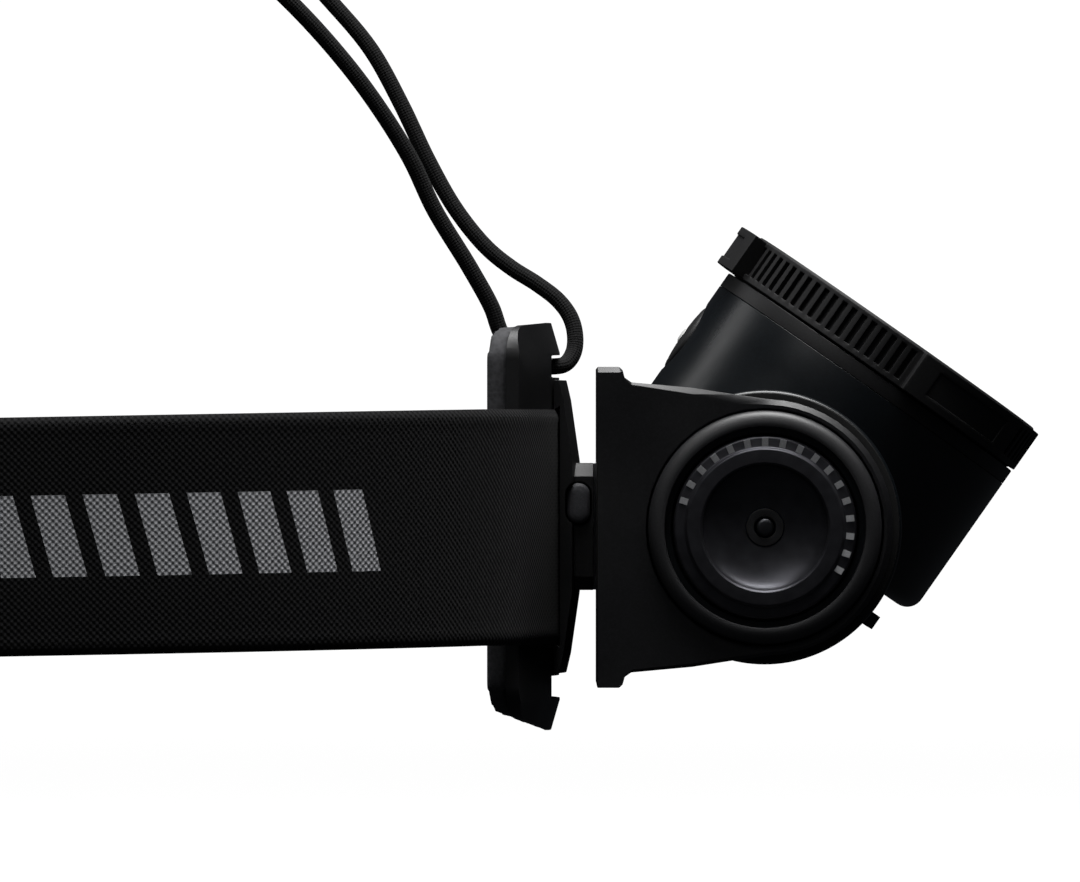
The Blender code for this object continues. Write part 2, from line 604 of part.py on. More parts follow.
def build_inside(tilt):
    flat = -19.8
    sink = rod("heat_sink", "alloy", CAVITY_RADIUS - GAP - 0.1, CAVITY_FLOOR_U + GAP, 17.0, parent=tilt)
    cut(sink, box("sink_flat", None, (-40, -40, 0), (flat, 40, 40), parent=tilt))
    board = rod("led_board", "board_green", 11.0, 17.3, 18.7, sides=32, parent=tilt)
    for name, y in (("board_screw_right", -8.5), ("board_screw_left", 8.5)):
        hole = rod(name + "_hole", None, 1.2, 13.6, 30, sides=16, location=(0, y, 0), parent=tilt)
        cut(sink, hole)
        cut(board, hole)
        turned(name, "steel", [(0, 19.9), (1.4, 19.9), (1.8, 19.6), (1.8, 19.0), (0.9, 19.0), (0.9, 14.0), (0, 14.0)],
               sides=16, location=(0, y, 0), parent=tilt)
    turned("led_emitter", "emitter_yellow",
           [(0, 20.5), (0.9, 20.3), (1.4, 19.9), (1.6, 19.6), (2.6, 19.6), (2.6, 19.0), (0, 19.0)],
           sides=16, parent=tilt)
    box("driver_board", "board_green", (-21.4, -6.5, 13.6), (-20.2, 6.5, 24.0), parent=tilt)
    box("tactile_switch", "steel", (-23.3, -2.2, BUTTON_U - 2.2), (-21.7, 2.2, BUTTON_U + 2.2), parent=tilt)
    turned("battery_cell", "cell_wrap",
           [(0, 36.0), (3.2, 36.0), (3.2, 35.2), (CELL_RADIUS - 0.5, 35.2), (CELL_RADIUS, 34.7),
            (CELL_RADIUS, -33.5), (CELL_RADIUS - 0.5, -34.0), (0, -34.0)], sides=24, rotation=OUT_LEFT, parent=tilt)


def build_contact_spring(tilt):
    turns, steps = 1.9, 14
    count = int(turns * steps)
    shape = bpy.data.curves.new("contact_spring", "CURVE")
    shape.dimensions = "3D"
    shape.bevel_depth = 0.35 * MM
    shape.bevel_resolution = 1
    shape.use_fill_caps = True
    spline = shape.splines.new("POLY")
    spline.points.add(count)
    for i, point in enumerate(spline.points):
        share = i / count
        turn = share * turns * math.tau
        radius = 4.0 + 3.5 * share
        point.co = (radius * math.cos(turn) * MM, radius * math.sin(turn) * MM, (34.75 + 1.1 * share) * MM, 1)
    spring = bpy.data.objects.new("contact_spring", shape)
    shape.materials.append(FINISH["steel"])
    spring.rotation_euler = (math.radians(90), 0, 0)
    spring.parent = tilt
    PARTS.objects.link(spring)


def build_collar(tilt):
    turned("front_collar", "black_shell",
           [(SLEEVE_RADIUS, 32.4), (SLEEVE_RADIUS, COLLAR_U), (HEAD_RADIUS - 0.3, COLLAR_U),
            (HEAD_RADIUS, COLLAR_U - 0.3), (HEAD_RADIUS, 26.3), (HEAD_RADIUS - 0.3, HOUSING_FRONT_U + GAP),
            (21.6, HOUSING_FRONT_U + GAP), (21.6, 32.4)], closed=True, sides=48, parent=tilt)


def build_hubs(tilt):
    ring = [(16.6, 40.1), (17.05, 39.9), (17.3, 39.3), (17.3, HUB_HALF + GAP), (15.7, HUB_HALF + GAP),
            (15.8, 39.3), (16.1, 39.9)]
    washer = [(20.0, CHEEK_INNER - GAP), (20.0, BARREL_HALF + GAP), (HUB_RADIUS + GAP, BARREL_HALF + GAP),
              (HUB_RADIUS + GAP, CHEEK_INNER - GAP)]
    for side, facing in (("right", OUT_RIGHT), ("left", OUT_LEFT)):
        turned("hub_ring_" + side, "black_shell", ring, closed=True, sides=36, rotation=facing, parent=tilt)
        turned("friction_washer_" + side, "seal_rubber", washer, closed=True, sides=32, rotation=facing,
               parent=tilt)
    dish_radius = 9.4
    dish = [(dish_radius * math.sin(math.radians(a)), 40.2 - 2.9 * math.cos(math.radians(a)))
            for a in (20, 35, 50, 65, 80)]
    port = [(dish_radius, 40.2), (11.6, 40.2), (11.9, 39.7), (13.3, 39.5), (CAP_RADIUS, 39.2),
            (CAP_RADIUS, CAP_SEAT + 0.2), (3.1, CAP_SEAT + 0.2), *dish]
    turned("charge_port", "dark_dish", port, closed=True, sides=36, rotation=OUT_RIGHT, parent=tilt)
    turned("charge_insulator", "seal_rubber",
           [(2.8, 37.6), (2.8, CAP_SEAT + 0.2), (1.6, CAP_SEAT + 0.2), (1.6, 37.6)],
           closed=True, sides=SMALL_ROUND, rotation=OUT_RIGHT, parent=tilt)
    turned("charge_pin", "steel", [(0, 38.1), (0.9, 38.0), (1.3, 37.7), (1.3, CAP_SEAT + 0.2), (0, CAP_SEAT + 0.2)],
           sides=SMALL_ROUND, rotation=OUT_RIGHT, parent=tilt)
    cap = turned("battery_cap", "black_shell",
                 [(0, 39.8), (12.9, 39.8), (CAP_RADIUS, 39.2), (CAP_RADIUS, 38.8), (12.0, 38.8), (12.0, 37.0),
                  (13.3, 37.0), (13.3, CAP_SEAT + 0.2), (0, CAP_SEAT + 0.2)], rotation=OUT_LEFT, parent=tilt)
    cut(cap, box("coin_slot", None, (-8.5, 38.2, -1.3), (8.5, 45, 1.3), parent=tilt))
    seal = [(12.85 + 0.68 * math.cos(math.radians(a)), 37.9 + 0.68 * math.sin(math.radians(a)))
            for a in range(90, -270, -45)]
    turned("cap_seal", "seal_rubber", seal, closed=True, sides=28, rotation=OUT_LEFT, parent=tilt)


def build_switch(tilt):
    facing = dict(rotation=OUT_TOP, location=(0, 0, BUTTON_U), parent=tilt, sides=28)
    button = turned("switch_button", "soft_grip",
                    [(0, 26.3), (3.6, 26.2), (5.1, 25.9), (BUTTON_RADIUS, 25.3), (BUTTON_RADIUS, 24.3), (0, 24.3)],
                    **facing)
    cut(button, rod("lens_way", None, 1.6, 25.2, 30, **facing))
    turned("button_lens", "icon_white", [(0, 26.6), (0.9, 26.55), (1.3, 26.3), (1.3, 25.4), (0, 25.4)],
           **{**facing, "sides": 16})


def ring_outline():
    """The focus ring seen along its axis: three smooth grips with ribs between them."""
    points = []
    rib_span = 120 - GRIP_SPAN
    for centre in GRIP_ANGLES:
        points += arc((0, 0), GRIP_RADIUS, centre - GRIP_SPAN / 2 + 1.5, centre + GRIP_SPAN / 2 - 1.5, 8)
        first = centre + GRIP_SPAN / 2
        pitch = rib_span / RIBS_PER_SECTOR
        for i in range(RIBS_PER_SECTOR):
            low = first + pitch * i
            points += [*arc((0, 0), RIB_ROOT, low + pitch * 0.08, low + pitch * 0.42, 2),
                       *arc((0, 0), RIB_RADIUS, low + pitch * 0.55, low + pitch * 0.95, 2)]
    return points


def build_focus_ring(tilt):
    ring = outline("focus_ring", "soft_grip", ring_outline(), RING_REAR_U, RING_FRONT_U, "top", parent=tilt)
    cut(ring, rod("ring_bore", None, RING_BORE, 20, 34.5, parent=tilt, sides=48),
        rod("lip_bore", None, 21.2, 20, 50, parent=tilt, sides=48))
    for centre in GRIP_ANGLES:
        panel = box("grip_panel", None, (GRIP_RADIUS - 1.0, -7.4, 29.8), (40, 7.4, 33.8), parent=tilt)
        panel.rotation_euler = (0, 0, math.radians(centre))
        cut(ring, panel)
    rod("front_window", "clear_lens", 21.9, 33.0, 34.2, parent=tilt)
    turned("window_seal", "seal_rubber", [(23.1, 34.2), (23.1, 33.0), (22.2, 33.0), (22.2, 34.2)],
           closed=True, sides=28, parent=tilt)


def build_optics(tilt):
    turned("lens_carrier", "black_shell",
           [(21.2, 28.8), (21.2, 24.6), (16.9, 24.6), (16.9, 27.0), (17.6, 27.0), (17.6, 28.8)],
           closed=True, sides=36, parent=tilt)
    turned("collimator_lens", "clear_lens",
           [(0, LENS_FRONT_U), (17.2, LENS_FRONT_U), (17.2, 27.4), (16.0, 27.2), (14.2, 25.4), (11.4, 23.2),
            (8.4, 21.6), (5.8, LENS_REAR_U), (3.4, LENS_REAR_U), (3.1, 24.6), (1.6, 25.2), (0, 25.4)],
           sides=32, parent=tilt)


def build_lamp_head():
    tilt = empty_at("tilt_pivot", (PIVOT_X, 0, 0), (0, 90 - TILT_UP, 0))
    build_housing(tilt)
    build_inside(tilt)
    build_contact_spring(tilt)
    build_collar(tilt)
    build_hubs(tilt)
    build_switch(tilt)
    build_focus_ring(tilt)
    build_optics(tilt)


build_headband()
build_yoke()
build_lamp_head()
for item in PARTS.objects:
    if item.type == "MESH":
        item.data.shade_smooth()
        item.data.set_sharp_from_angle(angle=math.radians(35))
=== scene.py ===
"""The looks of a headlamp: a drum head on a cross barrel that tilts in a yoke, docked on a
forehead plate, with an elastic band round the head and a braided cord over it.
"""

import json
import math

import bmesh
import bpy
from mathutils import Matrix, Vector


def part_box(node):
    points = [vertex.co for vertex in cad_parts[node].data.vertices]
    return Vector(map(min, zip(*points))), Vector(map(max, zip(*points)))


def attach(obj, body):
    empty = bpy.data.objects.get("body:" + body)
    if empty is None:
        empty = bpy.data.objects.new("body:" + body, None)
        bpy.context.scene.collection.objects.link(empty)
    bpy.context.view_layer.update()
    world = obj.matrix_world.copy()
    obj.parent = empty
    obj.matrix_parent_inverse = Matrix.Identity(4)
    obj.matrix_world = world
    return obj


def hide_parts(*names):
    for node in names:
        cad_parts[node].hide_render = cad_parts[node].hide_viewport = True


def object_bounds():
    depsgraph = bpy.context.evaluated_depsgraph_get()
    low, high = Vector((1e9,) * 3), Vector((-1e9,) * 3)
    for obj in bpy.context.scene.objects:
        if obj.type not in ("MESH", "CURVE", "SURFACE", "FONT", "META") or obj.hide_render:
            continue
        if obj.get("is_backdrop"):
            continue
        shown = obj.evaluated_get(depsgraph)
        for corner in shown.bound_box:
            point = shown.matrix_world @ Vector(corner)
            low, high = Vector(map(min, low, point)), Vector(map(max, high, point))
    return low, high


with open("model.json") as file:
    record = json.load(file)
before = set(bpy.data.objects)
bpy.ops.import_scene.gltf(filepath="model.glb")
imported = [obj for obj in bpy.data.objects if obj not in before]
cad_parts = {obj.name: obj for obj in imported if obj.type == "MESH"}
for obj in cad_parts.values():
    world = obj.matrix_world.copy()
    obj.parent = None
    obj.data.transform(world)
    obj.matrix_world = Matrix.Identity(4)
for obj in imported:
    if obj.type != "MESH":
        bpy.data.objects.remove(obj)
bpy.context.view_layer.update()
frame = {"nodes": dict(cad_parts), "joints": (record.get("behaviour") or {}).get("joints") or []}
MM = 0.001

# ------------------------------------------------------------------ floor, light and camera
# A plain pale floor below the band, a broad softbox overhead, smaller ones up on the left and
# right and a weak one in front, in a dark room, so that black plastic stays black.
FLOOR_Z = -0.056
CAMERA_PLACE = (0.00844, -3.0, 0.0128)
CAMERA_LENS = 666.0
LAMPS = (
    # name, place, aimed at, width, height, watts
    ("softbox_overhead", (0.08, -0.12, 1.10), (0.03, 0.0, 0.0), 0.7, 0.7, 19.0),
    ("softbox_left", (-0.94, 0.33, 0.66), (0.03, 0.0, 0.02), 0.4, 0.4, 1.0),
    ("softbox_right", (0.60, -0.20, 1.10), (0.03, 0.0, 0.0), 0.4, 0.4, 2.0),
    ("softbox_front", (-0.50, -1.25, 1.30), (0.03, 0.0, 0.0), 0.8, 0.5, 3.4),
)


def linear(code):
    """The linear colour, with alpha, of an sRGB hex code."""
    parts = [int(code[i:i + 2], 16) / 255 for i in (1, 3, 5)]
    return (*(p / 12.92 if p <= 0.04045 else ((p + 0.055) / 1.055) ** 2.4 for p in parts), 1.0)


def add_node(tree, kind, inputs=None, **settings):
    """A shader node with its settings; each input is given a value or the socket to link to it."""
    made = tree.nodes.new("ShaderNode" + kind)
    for name, value in settings.items():
        setattr(made, name, value)
    for name, value in (inputs or {}).items():
        if isinstance(value, bpy.types.NodeSocket):
            tree.links.new(value, made.inputs[name])
        else:
            made.inputs[name].default_value = value
    return made


def blank_material(name):
    material = bpy.data.materials.new(name)
    material.use_nodes = True
    material.node_tree.nodes.clear()
    return material, material.node_tree


# Each of these adds one node and gives back the socket that its result comes out of.
def object_place(tree):
    return add_node(tree, "TexCoord").outputs["Object"]


def maths(tree, operation, *values):
    return add_node(tree, "Math", dict(enumerate(values)), operation=operation).outputs[0]


def remapped(tree, value, low, high, to_low=0.0, to_high=1.0):
    return add_node(tree, "MapRange",
                    {"Value": value, "From Min": low, "From Max": high,
                     "To Min": to_low, "To Max": to_high}).outputs[0]


def mixed(tree, share, low, high):
    """A mix of two colours, each a hex code, a tuple or a socket."""
    low, high = (linear(end) if isinstance(end, str) else end for end in (low, high))
    return add_node(tree, "Mix", {0: share, 6: low, 7: high},
                    data_type="RGBA").outputs[2]


def noise(tree, place, scale, detail, roughness=0.5):
    return add_node(tree, "TexNoise",
                    {"Vector": place, "Scale": scale, "Detail": detail,
                     "Roughness": roughness}).outputs["Fac"]


def bumped(tree, height, strength, distance):
    return add_node(tree, "Bump", {"Height": height, "Strength": strength,
                                             "Distance": distance}).outputs[0]


def finished(material, inputs):
    """The material, its surface a principled shader with these inputs."""
    shader = add_node(material.node_tree, "BsdfPrincipled", inputs)
    add_node(material.node_tree, "OutputMaterial", {"Surface": shader.outputs[0]})
    return material


def piece_from(form, name):
    """A smooth piece from a finished bmesh, its faces turned outwards."""
    bmesh.ops.recalc_face_normals(form, faces=form.faces)
    mesh = bpy.data.meshes.new(name)
    form.to_mesh(mesh)
    form.free()
    mesh.shade_smooth()
    return new_piece(name, mesh)


def work_on(*pieces):
    """Select these pieces and nothing else, the first one active."""
    bpy.ops.object.select_all(action="DESELECT")
    for piece in pieces:
        piece.select_set(True)
    bpy.context.view_layer.objects.active = pieces[0]


def new_piece(name, data):
    piece = bpy.data.objects.new(name, data)
    bpy.context.scene.collection.objects.link(piece)
    return piece


def apply_step(piece, kind, **settings):
    """Add a modifier to the active piece and apply it."""
    step = piece.modifiers.new(kind, kind)
    for name, value in settings.items():
        setattr(step, name, value)
    bpy.ops.object.modifier_apply(modifier=kind)


def shade_flats(degrees):
    """Shade the selected pieces smooth, but for edges sharper than this."""
    bpy.ops.object.shade_smooth_by_angle(angle=math.radians(degrees))


def camera_and_lamps():
    camera = new_piece("camera", bpy.data.cameras.new("camera"))
    camera.location = CAMERA_PLACE
    camera.rotation_euler = (math.radians(90), 0, 0)
    camera.data.lens = CAMERA_LENS
    camera.data.sensor_width = 36.0
    camera.data.clip_end = 60.0
    bpy.context.scene.camera = camera
    for name, place, target, width, height, watts in LAMPS:
        light = bpy.data.lights.new(name, "AREA")
        light.shape = "RECTANGLE"
        light.size, light.size_y, light.energy = width, height, watts
        lamp = new_piece(name, light)
        lamp.location = place
        lamp.rotation_euler = (Vector(target) - Vector(place)).to_track_quat("-Z", "Y").to_euler()


def dark_room():
    """Dim grey on the object, and plain white where the camera looks past it."""
    world = bpy.data.worlds.new("studio")
    bpy.context.scene.world = world
    world.use_nodes = True
    tree = world.node_tree
    tree.nodes.clear()
    dim = add_node(tree, "Background", {"Color": linear("#8f939b"), "Strength": 0.05})
    white = add_node(tree, "Background", {"Color": linear("#ffffff"), "Strength": 1.05})
    seen = add_node(tree, "LightPath")
    mixed = add_node(tree, "MixShader",
                     {0: seen.outputs["Is Camera Ray"], 1: dim.outputs[0], 2: white.outputs[0]})
    add_node(tree, "OutputWorld", {"Surface": mixed.outputs[0]})


def pale_floor():
    """Painted board that takes faint shadows and loses its edge against the white background."""
    bpy.ops.mesh.primitive_circle_add(vertices=96, radius=30.0, fill_type="NGON",
                                      location=(0, 0, FLOOR_Z))
    floor = bpy.context.object
    floor.name = "floor"
    material, tree = blank_material("white_painted_board")
    away = add_node(tree, "VectorMath", {0: object_place(tree)}, operation="LENGTH")
    far = remapped(tree, away.outputs["Value"], 0.3, 2.5)
    paint = add_node(tree, "BsdfDiffuse", {"Color": linear("#f4f4f4")})
    glow = add_node(tree, "Emission", {"Color": linear("#ffffff"), "Strength": 1.05})
    both = add_node(tree, "MixShader",
                    {0: remapped(tree, far, 0.0, 1.0, 0.86, 1.0), 1: paint.outputs[0],
                     2: glow.outputs[0]})
    add_node(tree, "OutputMaterial", {"Surface": both.outputs[0]})
    floor.data.materials.append(material)
    floor.visible_diffuse = False
    floor.visible_glossy = False
    floor.visible_transmission = False
    floor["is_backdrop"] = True


camera_and_lamps()
dark_room()
pale_floor()
bpy.context.scene.view_settings.view_transform = "Standard"

# ------------------------------------------------------------------ overhead cord
# Elastic cord in a braided polyester sheath, 2.4 mm thick.  Both ends are held in the lock at
# the back of the band; the front bight hooks through the slot of the forehead plate.
CORD_RADIUS = 0.0012
BRAID_DEPTH = 0.00011
CARRIERS = 8                  # bundles of yarn each way round the cord
BRAID_PITCH = 0.0064          # length in which one bundle goes once round
CORD_SIDES = 24
CORD_STEP = 0.00040
LOCK_X = -0.1995
CORD_ROUTE = [
    (LOCK_X, -0.0016, -0.0015), (LOCK_X, -0.0016, 0.006), (-0.1978, -0.0020, 0.020),
    (-0.1915, -0.0045, 0.042), (-0.1805, -0.0075, 0.064), (-0.1645, -0.0105, 0.0835),
    (-0.144, -0.013, 0.0985), (-0.1205, -0.014, 0.1075), (-0.097, -0.014, 0.1105),
    (-0.0745, -0.0135, 0.1075), (-0.0545, -0.012, 0.0988), (-0.0395, -0.010, 0.088),
    (-0.0285, -0.0085, 0.0781), (-0.021, -0.0075, 0.0698), (-0.0157, -0.0065, 0.0627),
    (-0.011, -0.0055, 0.0551), (-0.0074, -0.0046, 0.0475), (-0.0021, -0.0038, 0.0388),
    (0.0012, -0.0032, 0.0328), (0.0026, -0.0029, 0.0290), (0.0050, -0.0026, 0.0259),
    (0.0082, -0.0022, 0.0242), (0.0106, -0.0014, 0.0240), (0.0123, -0.0002, 0.0244),
    (0.0135, 0.0010, 0.0262), (0.0137, 0.0018, 0.0288), (0.0130, 0.0024, 0.0314),
    (0.0112, 0.0030, 0.0339), (0.0080, 0.0036, 0.0364), (0.0042, 0.0042, 0.0388),
    (0.0004, 0.0048, 0.0419), (-0.0042, 0.0056, 0.0476), (-0.0084, 0.0064, 0.0550),
    (-0.0124, 0.0072, 0.0634), (-0.0170, 0.0080, 0.0717), (-0.0229, 0.0090, 0.0788),
    (-0.0335, 0.0105, 0.0898), (-0.0485, 0.012, 0.1008), (-0.070, 0.0135, 0.1100),
    (-0.095, 0.014, 0.1140), (-0.1205, 0.014, 0.1112), (-0.145, 0.013, 0.1018),
    (-0.1665, 0.0105, 0.0860), (-0.1825, 0.0075, 0.0658), (-0.193, 0.0045, 0.0430),
    (-0.1984, 0.0020, 0.0205), (LOCK_X, 0.0016, 0.006), (LOCK_X, 0.0016, -0.0015),
]


def smooth_route(points, between):
    """Points on a centripetal Catmull-Rom curve through the route's points."""
    route = [Vector(p) for p in points]
    route = [route[0] * 2 - route[1], *route, route[-1] * 2 - route[-2]]
    line = []
    for a, b, c, d in zip(route, route[1:], route[2:], route[3:]):
        times = [0.0]
        for p, q in ((a, b), (b, c), (c, d)):
            times.append(times[-1] + math.sqrt((q - p).length))
        for i in range(between):
            t = times[1] + (times[2] - times[1]) * i / between
            ab = a.lerp(b, (t - times[0]) / (times[1] - times[0]))
            bc = b.lerp(c, (t - times[1]) / (times[2] - times[1]))
            cd = c.lerp(d, (t - times[2]) / (times[3] - times[2]))
            abc = ab.lerp(bc, (t - times[0]) / (times[2] - times[0]))
            bcd = bc.lerp(cd, (t - times[1]) / (times[3] - times[1]))
            line.append(abc.lerp(bcd, (t - times[1]) / (times[2] - times[1])))
    line.append(route[-2])
    return line


def evenly_spaced(line, step):
    """The same line with its points one step apart, and its length."""
    walked = [0.0]
    for a, b in zip(line, line[1:]):
        walked.append(walked[-1] + (b - a).length)
    count = round(walked[-1] / step)
    even, at = [], 0
    for i in range(count + 1):
        goal = walked[-1] * i / count
        while at < len(line) - 2 and walked[at + 1] < goal:
            at += 1
        share = (goal - walked[at]) / (walked[at + 1] - walked[at])
        even.append(line[at].lerp(line[at + 1], share))
    return even, walked[-1]


def wrap_face(form, uv, a, b, k, places):
    """A face between point k of two rings and the next one, with its texture places."""
    n = (k + 1) % len(a)
    for loop, place in zip(form.faces.new((a[k], a[n], b[n], b[k])).loops, places):
        loop[uv].uv = place


def braided_tube(name, line):
    """A tube whose surface rises and falls with the bundles of its braid."""
    form = bmesh.new()
    uv = form.loops.layers.uv.new("along")
    across = Vector((0, 1, 0))
    rings, walked = [], 0.0
    for i, here in enumerate(line):
        ahead = (line[min(i + 1, len(line) - 1)] - line[max(i - 1, 0)]).normalized()
        across = (across - ahead * across.dot(ahead)).normalized()
        up = ahead.cross(across)
        if i:
            walked += (here - line[i - 1]).length
        twist = math.tau * walked / BRAID_PITCH
        ring = []
        for k in range(CORD_SIDES):
            turn = math.tau * k / CORD_SIDES
            right, left = CARRIERS * (turn + twist) / 2, CARRIERS * (turn - twist) / 2
            weave = (abs(math.cos(right)) * abs(math.cos(left))
                     + abs(math.sin(right)) * abs(math.sin(left)))
            radius = CORD_RADIUS + BRAID_DEPTH * (weave - 0.75) * 2
            way = across * math.cos(turn) + up * math.sin(turn)
            ring.append(form.verts.new(here + way * radius))
        rings.append(ring)
    for i, (a, b) in enumerate(zip(rings, rings[1:])):
        for k in range(CORD_SIDES):
            wrap_face(form, uv, a, b, k,
                      [(side / CORD_SIDES, row * CORD_STEP / BRAID_PITCH)
                       for side, row in ((k, i), (k + 1, i), (k + 1, i + 1), (k, i + 1))])
    form.faces.new(reversed(rings[0]))
    form.faces.new(rings[-1])
    return piece_from(form, name)


def braided_polyester():
    """Black polyester braid: matt, with a faint sheen, painted light on the crowns where the
    bundles rise and painted shade between them.
    """
    material, tree = blank_material("braided_polyester")
    place = add_node(tree, "UVMap", uv_map="along")
    parts = add_node(tree, "SeparateXYZ", {0: place.outputs["UV"]})
    waves = []
    for sign in (1.0, -1.0):
        lean = maths(tree, "MULTIPLY_ADD", parts.outputs["Y"], sign, parts.outputs["X"])
        waves.append(maths(tree, "SINE", maths(tree, "MULTIPLY", lean, math.tau * CARRIERS)))
    fibres = noise(tree, object_place(tree), 3200.0, 2.0)
    height = maths(tree, "MULTIPLY_ADD", fibres, 0.5, maths(tree, "MULTIPLY", *waves))
    # Painted light and shade: the braid's colour follows its height, paler on the crowns, darker
    # between the bundles.
    colour = mixed(tree, remapped(tree, height, -0.8, 1.4), "#040405", "#0b0b0c")
    return finished(material, {"Base Color": colour, "Roughness": 0.85, "Specular IOR Level": 0.3,
                               "Sheen Weight": 0.04, "Sheen Roughness": 0.5,
                               "Normal": bumped(tree, height, 0.6, 0.00008)})


cord_line, cord_length = evenly_spaced(smooth_route(CORD_ROUTE, 12), CORD_STEP)
overhead_cord = braided_tube("overhead_cord_braid", cord_line)
overhead_cord.data.materials.append(braided_polyester())
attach(overhead_cord, "headband")
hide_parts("overhead_cord")

# ------------------------------------------------------------------ elastic band
# One loop of 35 mm woven elastic, 1.2 mm thick, with thicker rubber-cored edges.  A row of pale
# slanted bars is woven in on each side, where it shows in headlights.
BAND_HEIGHT = 0.035
BAND_THICK = 0.0012
FRONT_CENTRE_X = -math.sqrt(0.088 ** 2 - 0.033 ** 2)
FRONT_RADIUS = 0.0932
FRONT_HALF_ANGLE = 22.0
HEAD_HALF_WIDTH = 0.076
SIDE_END_X = -0.114
BAND_SLOPE = 0.018
BAND_COLUMNS = 30


def arc(centre, radius, start, stop, count):
    turns = [math.radians(start + (stop - start) * i / (count - 1)) for i in range(count)]
    return [Vector((centre[0] + radius * math.cos(t), centre[1] + radius * math.sin(t), 0))
            for t in turns]


def band_path():
    """The band seen from above: front arc, corner, straight side and rear arc, then mirrored."""
    lean = math.radians(FRONT_HALF_ANGLE)
    start = (FRONT_CENTRE_X + FRONT_RADIUS * math.cos(lean), FRONT_RADIUS * math.sin(lean))
    corner = (HEAD_HALF_WIDTH - start[1]) / (1 - math.sin(lean))
    centre = (start[0] - corner * math.cos(lean), start[1] - corner * math.sin(lean))
    half = arc((FRONT_CENTRE_X, 0), FRONT_RADIUS, 0, FRONT_HALF_ANGLE, 40)[:-1]
    half += arc(centre, corner, FRONT_HALF_ANGLE, 90, 60)
    half += arc((SIDE_END_X, 0), HEAD_HALF_WIDTH, 90, 180, 80)
    return half + [Vector((p.x, -p.y, 0)) for p in reversed(half[1:-1])]


def band_profile():
    """The outline of the web's section, (how far out, height): up its outside, down its inside."""
    outside = []
    for i in range(BAND_COLUMNS + 1):
        level = -1 + 2 * i / BAND_COLUMNS
        edge = max(0.0, (abs(level) - 0.90) / 0.10)
        bulge = 0.00012 * math.sin(math.pi * min(1.0, edge * 1.05)) - 0.00042 * edge ** 6
        outside.append((BAND_THICK / 2 + bulge, level * BAND_HEIGHT / 2))
    return outside + [(-out, high) for out, high in reversed(outside)]


def woven_band(name):
    """The band as a closed loop with its weave laid out in mm, and the length of the loop."""
    form = bmesh.new()
    uv = form.loops.layers.uv.new("woven")
    path, profile = band_path(), band_profile()
    count = len(path)
    walked = [0.0]
    for a, b in zip(path, path[1:] + path[:1]):
        walked.append(walked[-1] + (b - a).length)
    rows = []
    for i, here in enumerate(path):
        ahead = (path[(i + 1) % count] - path[i - 1]).normalized()
        out = Vector((ahead.y, -ahead.x, 0))
        drop = BAND_SLOPE * min(here.x, 0.0)
        rows.append([form.verts.new(here + out * far + Vector((0, 0, high + drop)))
                     for far, high in profile])
    whole = walked[-1]
    for i in range(count):
        a, b = rows[i], rows[(i + 1) % count]
        start, end = (s - whole if walked[i] >= whole / 2 else s for s in walked[i:i + 2])
        for k, (_, near) in enumerate(profile):
            far = profile[(k + 1) % len(profile)][1]
            wrap_face(form, uv, a, b, k,
                      [(s / MM, high / MM)
                       for s, high in ((start, near), (start, far), (end, far), (end, near))])
    return piece_from(form, name), whole


def woven_elastic():
    """Black polyester elastic: a matt web whose yarn crowns stand in diamonds 0.7 mm apart, with
    painted light on the crowns, painted shade between them, and pale grey yarn in the bars."""
    pitch, bar_pitch, bar_share, bar_lean = 1.0, 7.6, 0.66, 0.28
    bars_from, bars_to, bar_half = 71.5, 139.0, 6.0
    material, tree = blank_material("woven_elastic")

    def sums(operation, *values):
        return maths(tree, operation, *values)

    weave = add_node(tree, "UVMap", uv_map="woven").outputs["UV"]
    parts = add_node(tree, "SeparateXYZ", {0: weave})
    along, high = parts.outputs["X"], parts.outputs["Y"]
    crowns = sums("MULTIPLY", *(sums("COSINE", sums("MULTIPLY", way, math.tau / pitch))
                                for way in (along, high)))
    height = sums("MULTIPLY_ADD", noise(tree, weave, 2.2, 3.0), 0.7, crowns)
    # Painted light and shade: the web's colour follows its height, paler on the yarn crowns and
    # darker between them, in the black yarn and the pale bars alike.
    painted_weave_shade = remapped(tree, height, -0.3, 1.5)
    black = mixed(tree, painted_weave_shade, "#040405", "#161618")
    pale = mixed(tree, painted_weave_shade, "#8e8f92", "#c9cacd")
    slanted = sums("SUBTRACT", sums("SUBTRACT", sums("ABSOLUTE", along), bars_from),
                   sums("MULTIPLY", high, bar_lean))
    in_bar = sums("LESS_THAN", sums("FRACT", sums("DIVIDE", slanted, bar_pitch)), bar_share)
    in_row = sums("MULTIPLY", sums("GREATER_THAN", slanted, 0.0),
                  sums("LESS_THAN", slanted, bars_to - bars_from))
    in_height = sums("LESS_THAN", sums("ABSOLUTE", high), bar_half)
    woven_in = sums("MULTIPLY", sums("MULTIPLY", in_bar, in_row), in_height)
    return finished(material, {"Base Color": mixed(tree, woven_in, black, pale),
                               "Roughness": 0.9, "Specular IOR Level": 0.25,
                               "Sheen Weight": 0.03, "Sheen Roughness": 0.5,
                               "Normal": bumped(tree, height, 0.7, 0.00012)})


band, band_length = woven_band("elastic_band")
band.data.materials.append(woven_elastic())
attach(band, "headband")
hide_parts("strap")

